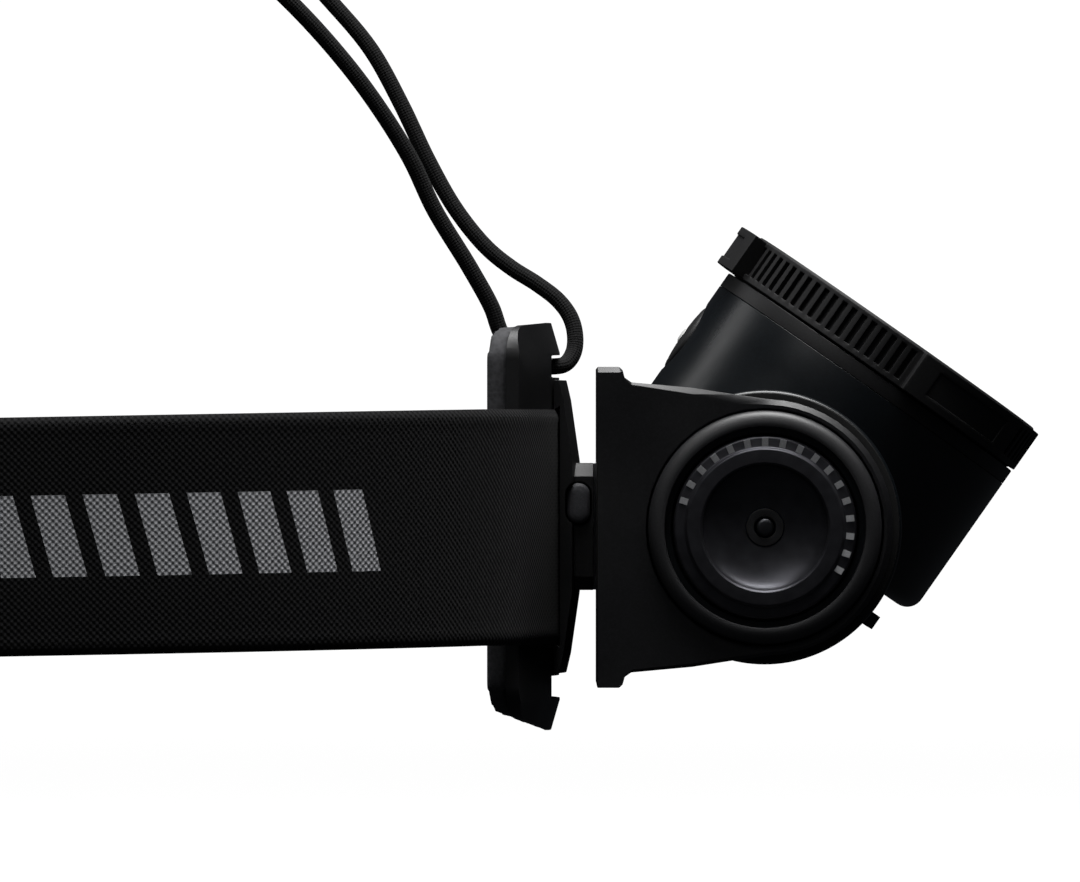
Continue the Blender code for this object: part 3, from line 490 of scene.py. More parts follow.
# ------------------------------------------------------------------ forehead plate
# A curved plate of black ABS with a sunk slot for the cord at top and bottom, a front cover
# that clamps the band on it with two screws from behind, and a boss that carries the dock.
def moulded(name, colour, painted_crest_light, roughness, grain_mm, depth_mm, specular=0.5):
    """Moulded plastic or rubber with a spark-eroded grain: painted light on its crests, painted
    shade in its hollows.
    """
    material, tree = blank_material(name)
    place = object_place(tree)
    grain = noise(tree, place, 1 / (grain_mm * MM), 4.0, 0.6)
    # Painted light and shade: the grain's crests take the paler colour and its hollows the darker
    # one, following the bump.
    tone = mixed(tree, remapped(tree, grain, 0.42, 0.72), colour, painted_crest_light)
    rough = remapped(tree, noise(tree, place, 70.0, 3.0), 0.3, 0.7,
                     roughness - 0.05, roughness + 0.05)
    return finished(material, {"Base Color": tone, "Roughness": rough, "IOR": 1.53,
                               "Specular IOR Level": specular,
                               "Normal": bumped(tree, grain, 0.5, depth_mm * MM)})


def clean_mesh(piece, step=None):
    """Merge a piece's doubled points, take a step of its own, and turn its faces outwards."""
    work_on(piece)
    bpy.ops.object.mode_set(mode="EDIT")
    bpy.ops.mesh.select_all(action="SELECT")
    bpy.ops.mesh.remove_doubles(threshold=0.000002)
    if step:
        step()
    bpy.ops.mesh.normals_make_consistent(inside=False)
    bpy.ops.object.mode_set(mode="OBJECT")


def join_flats():
    bpy.ops.mesh.dissolve_limited(angle_limit=math.radians(0.6))


def merged_copy(node, name):
    """A new piece on a CAD part's own shape, its loose triangles merged and flat faces whole."""
    piece = new_piece(name, frame["nodes"][node].data.copy())
    work_on(piece)
    if piece.data.has_custom_normals:
        bpy.ops.mesh.customdata_custom_splitnormals_clear()
    clean_mesh(piece, join_flats)
    return piece


def ease_edges(piece, width_mm, segments=3, angle=38):
    """Round a piece's sharp edges over and shade it so that its flats stay flat."""
    work_on(piece)
    bpy.ops.object.shade_smooth()
    apply_step(piece, "BEVEL", width=width_mm * MM, segments=segments, limit_method="ANGLE",
               angle_limit=math.radians(angle))
    shade_flats(40)
    apply_step(piece, "WEIGHTED_NORMAL", keep_sharp=True)


def fit(piece, body, slot, material, *nodes):
    """Give a finished piece its material and body, and hide the CAD parts that it stands for. The
    slot is not used.
    """
    piece.data.materials.clear()
    piece.data.materials.append(material)
    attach(piece, body)
    if nodes:
        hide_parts(*nodes)


BAND_CHANNEL, CHANNEL_SLACK = 0.0178, 0.00035    # half the band's channel, closed up on it
black_abs = moulded("black_abs_fine_grain", "#0b0b0c", "#17171a", 0.48, 0.28, 0.012)
for node, name, width_mm in (("base_plate", "forehead_plate", 0.8),
                             ("front_cover", "band_clamp_cover", 0.35)):
    shell = merged_copy(node, name)
    for vertex in shell.data.vertices:
        if abs(abs(vertex.co.z) - BAND_CHANNEL) < 0.00005:
            vertex.co.z = math.copysign(BAND_CHANNEL - CHANNEL_SLACK, vertex.co.z)
    ease_edges(shell, width_mm)
    fit(shell, "headband", "black_shell", black_abs, node)

# ------------------------------------------------------------------ forehead pad
# Closed-cell foam rubber 2.8 mm thick, moulded in soft cushions with air channels between them
# and glued inside the plate.  It rounds off at its rim and gives where it meets the skin.
CHANNEL_ANGLES = (-12.6, -4.2, 4.2, 12.6)
CHANNEL_HALF = 1.3 * MM
CHANNEL_DEPTH = 0.9 * MM
PAD_INNER_RADIUS = 0.088
PAD_OUTER_RADIUS = 0.0908
CROSS_CHANNEL = 0.0095        # height of the two channels that run sideways, up and down
SKIN_SHARE = 0.35             # share of the thickness, from the plate, that stays flat


def foam_rubber():
    """Dark grey foam rubber: matt skin with fine open pores about 0.4 mm across, with painted shade
    in the pores.
    """
    material, tree = blank_material("closed_cell_foam")
    place = object_place(tree)
    pores = add_node(tree, "TexVoronoi", {"Vector": place, "Scale": 1800.0})
    depth = maths(tree, "ADD", pores.outputs["Distance"], noise(tree, place, 260.0, 4.0))
    # Painted shade: the colour follows the same depth as the bump, darker where the skin is lower,
    # down in the pores and dips.
    tone = mixed(tree, remapped(tree, depth, 0.5, 1.3), "#38383a", "#49494c")
    return finished(material, {"Base Color": tone, "Roughness": 0.82, "IOR": 1.5,
                               "Sheen Weight": 0.06,
                               "Normal": bumped(tree, depth, 0.5, 0.00006)})


def cushion_pad():
    pad = merged_copy("forehead_pad", "forehead_pad_foam")
    work_on(pad)
    apply_step(pad, "REMESH", mode="VOXEL", voxel_size=0.00055)
    apply_step(pad, "SMOOTH", factor=0.5, iterations=10)
    for vertex in pad.data.vertices:
        x, y = vertex.co.x - FRONT_CENTRE_X, vertex.co.y
        radius = math.hypot(x, y)
        towards_skin = (PAD_OUTER_RADIUS - radius) / (PAD_OUTER_RADIUS - PAD_INNER_RADIUS)
        if towards_skin < SKIN_SHARE:
            continue
        sunk = 0.0
        for angle in CHANNEL_ANGLES:
            away = abs(math.atan2(y, x) - math.radians(angle)) * PAD_INNER_RADIUS / CHANNEL_HALF
            sunk = max(sunk, math.exp(-away ** 4))
        off_channel = abs(abs(vertex.co.z) - CROSS_CHANNEL) / CHANNEL_HALF
        sunk = max(sunk, 1 - off_channel ** 4)
        push = CHANNEL_DEPTH * sunk * min(1.0, (towards_skin - SKIN_SHARE) / 0.4)
        scale = (radius + push) / radius
        vertex.co.x, vertex.co.y = FRONT_CENTRE_X + x * scale, y * scale
    bpy.ops.object.shade_smooth()
    return pad


pad = cushion_pad()
fit(pad, "headband", "pad_rubber", foam_rubber(), "forehead_pad")

# ------------------------------------------------------------------ dock, release button, screws
# A machined aluminium rail screwed to the boss takes the shoe cut in the yoke; a rubber-faced
# pin in the boss lets it go.  The screws are M2 pan heads, nickel plated, with a cross recess.
def profile_rounded(profile, reach_mm, closed=False, steps=4):
    """A turning profile with each corner rounded off, reach_mm back along both its sides."""
    points = [Vector(p) for p in profile]
    smooth = []
    for i, corner in enumerate(points):
        if not closed and i in (0, len(points) - 1):
            smooth.append(corner)
            continue
        before, after = points[i - 1] - corner, points[(i + 1) % len(points)] - corner
        reach = min(reach_mm, before.length * 0.45, after.length * 0.45)
        start, end = corner + before.normalized() * reach, corner + after.normalized() * reach
        for k in range(steps + 1):
            t = k / steps
            smooth.append(start * (1 - t) ** 2 + corner * 2 * t * (1 - t) + end * t ** 2)
    return smooth


def round_point(centre, radius, degrees):
    """A point of a circle drawn in a turning profile."""
    turn = math.radians(degrees)
    return centre[0] + radius * math.cos(turn), centre[1] + radius * math.sin(turn)


def turned(name, profile, centre, axis, closed=False, rounding=0, steps=96, angle=32):
    """A chain of (radius, height) points in mm, extruded point by point and spun round an axis."""
    if rounding:
        profile = profile_rounded(profile, rounding, closed)
    axis = Vector(axis).normalized()
    out = axis.orthogonal().normalized()
    chain = [Vector(centre) + (out * p[0] + axis * p[1]) * MM for p in profile]
    if closed:
        chain.append(chain[0])
    bpy.ops.object.select_all(action="DESELECT")
    bpy.ops.mesh.primitive_plane_add(size=MM, location=(0, 0, 0))
    piece = bpy.context.object
    piece.name = name
    bpy.ops.object.mode_set(mode="EDIT")
    bpy.ops.mesh.merge(type="CENTER")
    bpy.ops.transform.translate(value=chain[0])
    for here, there in zip(chain, chain[1:]):
        bpy.ops.mesh.extrude_region_move(TRANSFORM_OT_translate={"value": there - here})
    bpy.ops.mesh.select_all(action="SELECT")
    bpy.ops.mesh.spin(steps=steps, angle=math.tau, center=centre, axis=axis)
    bpy.ops.mesh.select_all(action="SELECT")
    bpy.ops.mesh.remove_doubles(threshold=0.000003)
    bpy.ops.mesh.delete_loose()
    bpy.ops.mesh.select_all(action="SELECT")
    bpy.ops.mesh.normals_make_consistent(inside=False)
    bpy.ops.object.mode_set(mode="OBJECT")
    shade_flats(angle)
    return piece


def block(name, centre, size, turn=None):
    """A box at its place, its scale and rotation applied."""
    bpy.ops.object.select_all(action="DESELECT")
    bpy.ops.mesh.primitive_cube_add(size=1.0, location=(0, 0, 0))
    piece = bpy.context.object
    piece.name = name
    piece.data.transform(Matrix.Diagonal((*size, 1)))
    if turn is not None:
        piece.data.transform(turn)
    piece.data.transform(Matrix.Translation(centre))
    return piece


def combined(piece, other, operation):
    """Cut other from piece, or add it, and use it up."""
    work_on(piece)
    apply_step(piece, "BOOLEAN", operation=operation, object=other, solver="EXACT")
    bpy.data.objects.remove(other)


def metal(name, colour, roughness, line_mm, depth_mm, centre=(0, 0, 0), axis=(0, 0, 1)):
    """A turned or brushed metal: fine tool rings about an axis, a few paler and duller spots."""
    material, tree = blank_material(name)
    place = object_place(tree)
    spin = Vector(axis).normalized().rotation_difference(Vector((0, 0, 1))).to_euler()
    moved = add_node(tree, "VectorMath", {0: place, 1: Vector(centre)},
                     operation="SUBTRACT")
    stood = add_node(tree, "Mapping", {"Vector": moved.outputs[0], "Rotation": spin})
    rings = add_node(tree, "TexWave",
                     {"Vector": stood.outputs[0], "Scale": 1 / (line_mm * MM) / 20,
                      "Distortion": 0.4, "Detail": 2.0}, wave_type="RINGS", rings_direction="Z")
    spots = noise(tree, place, 420.0, 4.0)
    paler = tuple(min(1.0, c * 1.15) for c in linear(colour)[:3]) + (1.0,)
    rough = remapped(tree, spots, 0.3, 0.7, roughness - 0.05, roughness + 0.08)
    return finished(material, {"Base Color": mixed(tree, spots, colour, paler),
                               "Roughness": rough, "Metallic": 1.0,
                               "Normal": bumped(tree, rings.outputs["Fac"], 0.35, depth_mm * MM)})


def pan_head_screw(name, node, body, out, head_radius=1.8, head_high=0.9, shank=0.9):
    """An M2 screw that fills its CAD part's box; out is the way its head faces."""
    out = Vector(out)
    low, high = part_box(node)
    centre = (low + high) / 2
    half = BOARD_SCREW_HALF
    if abs(out.x) > 0.99 or abs(out.z) > 0.99:
        corners = [Vector((x, y, z)) for x in (low.x, high.x) for y in (low.y, high.y)
                   for z in (low.z, high.z)]
        half = max((corner - centre).dot(out) for corner in corners) / MM
    tip, under = -half, half - head_high
    thread = []
    for i in range(int((under - tip - 0.6) / THREAD_STEP)):
        foot = under - 0.3 - i * THREAD_STEP
        thread += [(shank, foot), (shank - 0.16, foot - THREAD_STEP / 2)]
    profile = [(0, half), (head_radius * 0.72, half), (head_radius * 0.95, half - 0.22),
               (head_radius, half - 0.5), (head_radius, under), (shank, under), *thread,
               (shank * 0.55, tip), (0, tip)]
    screw = turned(name, profile, centre, out, steps=48)
    across = out.orthogonal().normalized()
    for side in (across, out.cross(across)):
        turn = Matrix((side, out.cross(side), out)).transposed().to_4x4()
        arm = block("recess_arm", centre + out * half * MM, (2.1 * MM, 0.42 * MM, 0.9 * MM), turn)
        combined(screw, arm, "DIFFERENCE")
    shade_flats(32)
    fit(screw, body, "steel", plated_steel, node)


RAIL_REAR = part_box("dock_rail")[0].x
BOSS_FACE = 0.01641           # the rail is drawn tight against the boss
BOARD_SCREW_HALF = 2.95       # half the length, in mm, of the screws that hold the LED board
THREAD_STEP = 0.4
plated_steel = metal("nickel_plated_steel", "#a9abae", 0.28, 0.12, 0.004)
machined_alloy = metal("machined_aluminium", "#b4b6ba", 0.36, 0.15, 0.006, axis=(1, 0, 0))
soft_tpe = moulded("soft_touch_elastomer", "#0e0e0f", "#1b1b1d", 0.62, 0.22, 0.010, specular=0.4)
pin_face = moulded("release_pin_elastomer", "#434347", "#525256", 0.6, 0.22, 0.010, specular=0.4)

rail = merged_copy("dock_rail", "dock_rail_machined")
for vertex in rail.data.vertices:
    if vertex.co.x < RAIL_REAR + 0.0001:
        vertex.co.x = BOSS_FACE
ease_edges(rail, 0.25)
fit(rail, "headband", "alloy", machined_alloy, "dock_rail")
for node in ("rail_screw_upper", "rail_screw_lower"):
    pan_head_screw(node + "_m2", node, "headband", (1, 0, 0))
for node in ("cover_screw_upper", "cover_screw_lower"):
    pan_head_screw(node + "_m2", node, "headband", (-1, 0, 0), 1.9, 0.8, 0.75)

low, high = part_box("release_button")
pin_centre = Vector(((low.x + high.x) / 2, 0, (low.z + high.z) / 2))
pin_stretch = (high.z - low.z - high.x + low.x) / 2
pin = turned("release_pin", [(0, 14.25), (0.7, 14.2), (1.3, 14.05), (1.7, 13.7), (1.7, 10.6),
                             (0, 10.6)], pin_centre, (0, -1, 0), rounding=0.12, steps=48)
for vertex in pin.data.vertices:
    above = vertex.co.z - pin_centre.z
    if abs(above) > 0.00001:
        vertex.co.z += math.copysign(pin_stretch, above)
fit(pin, "release_button", "soft_grip", pin_face, "release_button")

# ------------------------------------------------------------------ band fittings and cord lock
# Two-bar sliders and a rear clip moulded in black acetal, threaded on the band.  The cord lock
# is a barrel with a spring plunger; both pass the cord and pinch it between their holes.
black_acetal = moulded("black_acetal", "#0c0c0d", "#18181b", 0.42, 0.35, 0.008)
for node, name, body, width_mm in (
        ("strap_slider_right", "band_slider_right", "slider_right", 0.35),
        ("strap_slider_left", "band_slider_left", "slider_left", 0.35),
        ("rear_clip", "rear_clip_moulding", "headband", 0.5),
        ("cord_lock_barrel", "cord_lock_shell", "headband", 0.3),
        ("cord_lock_plunger", "cord_lock_button", "cord_lock", 0.3)):
    fitting = merged_copy(node, name)
    ease_edges(fitting, width_mm, angle=45)
    fit(fitting, body, "black_shell", black_acetal, node)

# ------------------------------------------------------------------ yoke
# One moulding in glass-filled nylon: a back plate with the dock's shoe, and two cheeks that end
# round the hubs.  The cheeks' upper edges carry a chamfer that widens towards the round end.
PIVOT = Vector(next(j["pos_m"] for j in frame["joints"] if j["name"] == "head_tilt"))
OPTIC = Vector(next(j["axis"] for j in frame["joints"] if j["name"] == "focus_turn")).normalized()
low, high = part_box("yoke")
CHEEK_OUTER = high.y
CHEEK_FLANK = CHEEK_OUTER - 0.00012         # where the CAD part's own chamfer starts
HUB_CLEAR = 0.0182
CHAMFER_FACE, CHAMFER_GROWTH, CHAMFER_DEPTH = 0.00035, 0.0010, 0.0005
PLATE_FRONT, PLATE_TOP = 0.0208, 0.0232
NEAR = 0.00003


def smoothstep(low, high, value):
    t = min(1.0, max(0.0, (value - low) / (high - low)))
    return t * t * (3 - 2 * t)


glass_nylon = moulded("glass_filled_nylon", "#0d0d0f", "#1a1a1d", 0.44, 0.32, 0.014)
yoke = merged_copy("yoke", "yoke_moulding")
for vertex in yoke.data.vertices:
    spot = vertex.co - PIVOT
    reach = math.hypot(spot.x, spot.z)
    side = math.copysign(1.0, vertex.co.y)
    if reach < HUB_CLEAR:
        continue
    if vertex.co.x < PLATE_FRONT:
        if vertex.co.z > PLATE_TOP and abs(vertex.co.y) > CHEEK_FLANK - NEAR:
            if abs(vertex.co.y) < CHEEK_FLANK + NEAR:
                vertex.co.y -= side * 0.0006
            else:
                vertex.co.z -= 0.0007
        continue
    start = smoothstep(0.0, 0.002, vertex.co.x - PLATE_FRONT)
    if abs(abs(vertex.co.y) - CHEEK_FLANK) < NEAR:
        vertex.co.y -= side * CHAMFER_DEPTH * start
    elif abs(abs(vertex.co.y) - CHEEK_OUTER) < NEAR:
        turn = math.degrees(math.atan2(spot.z, spot.x))
        growth = smoothstep(0.022, 0.041, vertex.co.x) * smoothstep(-60, 20, turn)
        grown = min((CHAMFER_FACE + CHAMFER_GROWTH * growth) * start, reach - HUB_CLEAR)
        if spot.x > 0:
            shrink = (reach - grown) / reach
            vertex.co.x, vertex.co.z = PIVOT.x + spot.x * shrink, PIVOT.z + spot.z * shrink
        else:
            vertex.co.z -= math.copysign(grown, spot.z)
ease_edges(yoke, 0.12, segments=2, angle=30)
fit(yoke, "yoke", "black_shell", glass_nylon, "yoke")

# ------------------------------------------------------------------ lamp housing
# The head's drum and the battery barrel across it are one moulding in black polycarbonate blend,
# with hub sleeves that turn in the cheeks and two stops that meet the yoke at the ends of the tilt.
BARREL_RADIUS, BARREL_HALF = 20.4, 33.4
HUB_RADIUS, HUB_HALF = 17.4, 38.0
DRUM_RADIUS, DRUM_REAR, DRUM_FRONT = 25.9, 2.1, 25.93
SEAT_RADIUS, SEAT_FLOOR = 13.9, 36.4
CAVITY_RADIUS, CAVITY_FLOOR = 22.9, 12.9
BORE_RADIUS = 11.2
DRUM_EDGE = 2.6               # radius of the drum's rear edge
STOP_REACH, STOP_SIZE = 20.9, (2.2 * MM, 51.3 * MM, 2.2 * MM)
BUTTON_OUT = 16.6
SIDEWAYS = Vector((0, 1, 0))
HEAD_DOWN = SIDEWAYS.cross(OPTIC)           # across the head, down at the front
HEAD_TURN = Matrix((HEAD_DOWN, SIDEWAYS, OPTIC)).transposed().to_4x4()


def head_place(down, side, out):
    """A point of the lamp head, in mm across, sideways and along the optical axis, in the frame."""
    return PIVOT + (HEAD_DOWN * down + SIDEWAYS * side + OPTIC * out) * MM


def bar(name, radius, low, high, centre, axis, steps=144):
    return turned(name, [(0, high), (radius, high), (radius, low), (0, low)], centre, axis,
                  steps=steps)


def close_gaps():
    bpy.ops.mesh.select_all(action="SELECT")
    bpy.ops.mesh.fill_holes(sides=6)
    bpy.ops.mesh.select_all(action="SELECT")


half_barrel = [
    *profile_rounded([(BORE_RADIUS, SEAT_FLOOR), (SEAT_RADIUS, SEAT_FLOOR),
                      (SEAT_RADIUS, HUB_HALF), (HUB_RADIUS, HUB_HALF),
                      (HUB_RADIUS, BARREL_HALF)], 0.2),
    *profile_rounded([(HUB_RADIUS + 0.2, BARREL_HALF), (BARREL_RADIUS, BARREL_HALF),
                      (BARREL_RADIUS, BARREL_HALF - 3)], 0.9)]
housing = turned("lamp_housing_moulding",
                 [*half_barrel, *[(r, -h) for r, h in reversed(half_barrel)]],
                 PIVOT, SIDEWAYS, closed=True, steps=144)
drum_rear = [round_point((DRUM_RADIUS - DRUM_EDGE, DRUM_REAR + DRUM_EDGE), DRUM_EDGE, -angle)
             for angle in range(0, 91, 10)]
drum_front = profile_rounded([(0, DRUM_FRONT), (DRUM_RADIUS, DRUM_FRONT),
                              (DRUM_RADIUS, DRUM_FRONT - 5)], 0.06)
drum = turned("drum", [*drum_front, *drum_rear, (0, DRUM_REAR)], PIVOT, OPTIC, steps=192)
combined(drum, bar("barrel_core", 19.1, -60, 60, PIVOT, SIDEWAYS, 130), "DIFFERENCE")
combined(housing, drum, "UNION")
combined(housing, bar("cavity", CAVITY_RADIUS, CAVITY_FLOOR, 60, PIVOT, OPTIC), "DIFFERENCE")
for turn in (math.radians(-96), math.radians(96)):
    spot = head_place(math.sin(turn) * STOP_REACH, 0, math.cos(turn) * STOP_REACH)
    combined(housing, block("tilt_stop", spot, STOP_SIZE, HEAD_TURN), "UNION")
combined(housing, bar("button_way", 6.0, 20, 40, head_place(0, 0, BUTTON_OUT), -HEAD_DOWN, 100),
         "DIFFERENCE")
clean_mesh(housing, close_gaps)
shade_flats(30)
satin_pc = moulded("black_polycarbonate_blend", "#0b0e11", "#12171b", 0.31, 0.30, 0.006)
fit(housing, "lamp_head", "black_shell", satin_pc, "lamp_housing")

# The collar is a turned sleeve pressed into the housing's mouth; the focus ring runs on it.
collar = turned("front_collar_sleeve",
                [(23.0, 32.4), (23.0, 28.28), (25.75, 28.28), (25.9, 28.2), (25.9, 26.0),
                 (21.6, 26.0), (21.6, 32.4)], PIVOT, OPTIC, closed=True, rounding=0.06, steps=192)
fit(collar, "lamp_head", "black_shell", black_abs, "front_collar")

# ------------------------------------------------------------------ focus ring
# Soft-touch elastomer over a hard core: three raised finger grips, each with a sunk panel, and
# nineteen ribs between each pair, closed at front and back by a smooth rim.
RING_STEPS = 360
GRIP_CENTRES = (-58.0, 62.0, 182.0)
RIB_STEPS = 2                 # faces to a rib, and to the groove beside it
GRIP_FACES = 44
PANEL_FACES = 30
RIB_ROOT, RIB_RADIUS, GRIP_RADIUS = 25.2, 26.1, 28.3
RING_REAR, RIB_REAR, RIB_FRONT, RIM_FRONT, RING_FRONT = 28.4, 29.5, 34.4, 35.1, 35.4
PANEL_REAR, PANEL_FRONT = 29.9, 33.8
RING_PROFILE = [
    (21.2, 34.6), (21.2, 35.1), (21.5, RING_FRONT), (24.9, RING_FRONT), (RIB_ROOT, RIM_FRONT),
    (RIB_ROOT, RIB_FRONT), (RIB_ROOT, PANEL_FRONT), (RIB_ROOT, PANEL_REAR), (RIB_ROOT, RIB_REAR),
    (RIB_ROOT, RING_REAR + 0.2), (RIB_ROOT - 0.2, RING_REAR), (23.4, RING_REAR), (23.4, 34.5),
    (21.4, 34.5),
]


def from_grip(angle):
    """How far an angle lies past the middle of the last grip, in faces of the ring."""
    return min((angle - centre) % 360 for centre in GRIP_CENTRES) * RING_STEPS / 360


def near_grip(angle, faces):
    past = from_grip(angle)
    return past < faces / 2 or past > RING_STEPS / len(GRIP_CENTRES) - faces / 2


def on_grip(angle, out):
    return near_grip(angle, GRIP_FACES)


def on_panel(angle, out):
    return near_grip(angle, PANEL_FACES) and PANEL_REAR < out < PANEL_FRONT


def on_raised(angle, out):
    past = from_grip(angle) - GRIP_FACES / 2
    return (on_grip(angle, out) or not RIB_REAR < out < RIB_FRONT
            or past % (2 * RIB_STEPS) >= RIB_STEPS)


def raise_faces(ring, wanted, rise_mm):
    """Push the chosen outer faces of the ring out, or in, with walls round each region."""
    form = bmesh.from_edit_mesh(ring.data)
    for face in form.faces:
        spot = face.calc_center_median() - PIVOT
        out = spot.dot(OPTIC) / MM
        x, y = spot.dot(HEAD_DOWN), spot.dot(SIDEWAYS)
        outward = face.normal.dot((HEAD_DOWN * x + SIDEWAYS * y).normalized()) > 0.8
        face.select_set(outward and wanted(math.degrees(math.atan2(y, x)) % 360, out))
    form.select_flush_mode()
    bmesh.update_edit_mesh(ring.data)
    bpy.ops.mesh.extrude_region_move()
    form = bmesh.from_edit_mesh(ring.data)
    for vertex in form.verts:
        if vertex.select:
            spot = vertex.co - PIVOT
            vertex.co += (spot - OPTIC * spot.dot(OPTIC)).normalized() * rise_mm * MM
    form.normal_update()
    bmesh.update_edit_mesh(ring.data)


ring = turned("focus_ring_moulding", RING_PROFILE, PIVOT, OPTIC, closed=True, steps=RING_STEPS)
work_on(ring)
bpy.ops.object.mode_set(mode="EDIT")
bpy.ops.mesh.select_mode(type="FACE")
raise_faces(ring, on_raised, RIB_RADIUS - RIB_ROOT)
raise_faces(ring, on_grip, GRIP_RADIUS - RIB_RADIUS)
raise_faces(ring, on_panel, -0.25)
bpy.ops.mesh.select_mode(type="VERT")
bpy.ops.object.mode_set(mode="OBJECT")
ease_edges(ring, 0.16, segments=2, angle=50)
fit(ring, "focus_ring", "soft_grip", soft_tpe, "focus_ring")

# ------------------------------------------------------------------ hubs and charging dish
# A snap ring closes each hub outside its cheek, with a nitrile rubber washer on the inside.  The
# right
# hub holds the magnetic charging dish: a dark satin cup with a sprung pin at its centre.
MARK_STEP, MARK_FIRST, MARK_LAST = 12, -30, 162
MARK_RADIUS, MARK_HEIGHT, MARK_TILT = 12.55, 39.72, -8.0
RIGHT, LEFT = Vector((0, -1, 0)), Vector((0, 1, 0))


def satin_dish():
    """Black chrome on spun brass: a satin cup with faint spinning lines."""
    material, tree = blank_material("black_chrome_satin")
    place = object_place(tree)
    centred = add_node(tree, "VectorMath", {0: place, 1: PIVOT}, operation="SUBTRACT")
    flat = add_node(tree, "VectorMath", {0: centred.outputs[0], 1: (1, 0, 1)},
                    operation="MULTIPLY")
    radius = add_node(tree, "VectorMath", {0: flat.outputs[0]}, operation="LENGTH")
    wave = maths(tree, "SINE",
                 maths(tree, "MULTIPLY", radius.outputs["Value"], math.tau / (0.22 * MM)))
    spots = noise(tree, place, 500.0, 3.0)
    return finished(material, {"Base Color": mixed(tree, spots, "#3a3a3e", "#4a4a4f"),
                               "Roughness": remapped(tree, spots, 0.3, 0.7, 0.34, 0.42),
                               "Metallic": 0.75, "Normal": bumped(tree, wave, 0.25, 0.000004)})


nitrile = moulded("black_nitrile_rubber", "#0d0d0d", "#1a1a1a", 0.58, 0.2, 0.008, specular=0.4)
gloss_ring = moulded("black_polished_acetal", "#1a1a1c", "#252528", 0.5, 0.3, 0.003, specular=0.7)
ring_profile = [(17.3, 38.3), (14.9, 38.3), (14.9, 39.75), (15.0, 39.93),
                *[(15.3 + 2.0 * math.sin(math.radians(a)), 38.6 + 1.4 * math.cos(math.radians(a)))
                  for a in range(0, 91, 9)]]
for side, name, way in (("right", "hub_ring_right", RIGHT), ("left", "hub_ring_left", LEFT)):
    hub_ring = turned(name + "_snap", ring_profile, PIVOT, way, closed=True, steps=144)
    fit(hub_ring, "lamp_head", "black_shell", gloss_ring, name)
    washer = turned("tilt_washer_" + side, [(20.0, 34.5), (20.0, 33.7), (17.7, 33.7), (17.7, 34.5)],
                    PIVOT, way, closed=True, rounding=0.15)
    fit(washer, "lamp_head", "seal_rubber", nitrile, "friction_washer_" + side)

DISH_RADIUS, DISH_RIM, DISH_DEPTH = 9.4, 40.2, 2.9
cup = [(DISH_RADIUS * math.sin(math.radians(a)), DISH_RIM - DISH_DEPTH * math.cos(math.radians(a)))
       for a in range(18, 87, 4)]
rim = profile_rounded([(2.9, 36.6), (13.6, 36.6), (13.6, 39.2), (13.3, 39.5), (11.9, 39.7),
                       (11.6, DISH_RIM), (DISH_RADIUS + 0.25, DISH_RIM)], 0.2)
port = turned("charging_dish", [*rim, *reversed(cup)], PIVOT, RIGHT, closed=True, steps=144)
fit(port, "lamp_head", "dark_dish", satin_dish(), "charge_port")
grey_insulator = moulded("grey_liquid_crystal_polymer", "#1c1c1e", "#28282b", 0.5, 0.2, 0.004)
insulator = turned("charging_pin_insulator", [(2.8, 37.6), (2.8, 36.6), (1.6, 36.6), (1.6, 37.6)],
                   PIVOT, RIGHT, closed=True, rounding=0.12, steps=64)
fit(insulator, "lamp_head", "seal_rubber", grey_insulator, "charge_insulator")
pin = turned("charging_pin", [(0, 38.1), (0.8, 38.08), (1.1, 38.0), (1.25, 37.85), (1.3, 37.6),
                              (1.3, 36.6), (0, 36.6)], PIVOT, RIGHT, steps=48)
dark_nickel = metal("dark_nickel_plate", "#4c4d50", 0.42, 0.1, 0.002, centre=PIVOT, axis=RIGHT)
fit(pin, "lamp_head", "steel", dark_nickel, "charge_pin")

# Pad-printed marks round the dish's rim: plain ticks, like the divisions of a dial.
marks = []
for angle in range(MARK_FIRST, MARK_LAST + 1, MARK_STEP):
    turn = math.radians(angle)
    mark = block("mark", (0, 0, 0), (1.45 * MM, 0.05 * MM, 0.95 * MM))
    work_on(mark)
    apply_step(mark, "BEVEL", width=0.00002, segments=2, affect="EDGES")
    for move in (Matrix.Rotation(math.radians(MARK_TILT), 4, "Z"),
                 Matrix.Translation((MARK_RADIUS * MM, -MARK_HEIGHT * MM, 0)),
                 Matrix.Rotation(-turn, 4, "Y"), Matrix.Translation(PIVOT)):
        mark.data.transform(move)
    marks.append(mark)
work_on(*marks)
bpy.ops.object.join()
marks[0].name = "charging_dish_ticks"
pale_ink = moulded("pad_printed_ink", "#a2a3a5", "#b4b5b7", 0.6, 0.2, 0.002)
fit(marks[0], "lamp_head", "dark_dish", pale_ink)

# ------------------------------------------------------------------ battery cap
# The left hub's screw cap, turned with a coin; an O-ring in its groove keeps water out.
cap = turned("battery_screw_cap",
             [(0, 39.8), (12.9, 39.8), (13.6, 39.2), (13.6, 38.8), (12.0, 38.8), (12.0, 37.0),
              (13.3, 37.0), (13.3, 36.6), (0, 36.6)], PIVOT, LEFT, rounding=0.18, steps=144)
coin_slot = block("coin_slot", PIVOT + LEFT * 41.0 * MM, (17 * MM, 5.6 * MM, 2.6 * MM),
                  HEAD_TURN.inverted())
combined(cap, coin_slot, "DIFFERENCE")
work_on(cap)
shade_flats(30)
fit(cap, "battery_cap", "black_shell", satin_pc, "battery_cap")
seal_wire = [round_point((12.85, 37.9), 0.68, angle) for angle in range(0, 360, 24)]
seal = turned("cap_o_ring", seal_wire, PIVOT, LEFT, closed=True, angle=60)
fit(seal, "cap_seal", "seal_rubber", nitrile, "cap_seal")

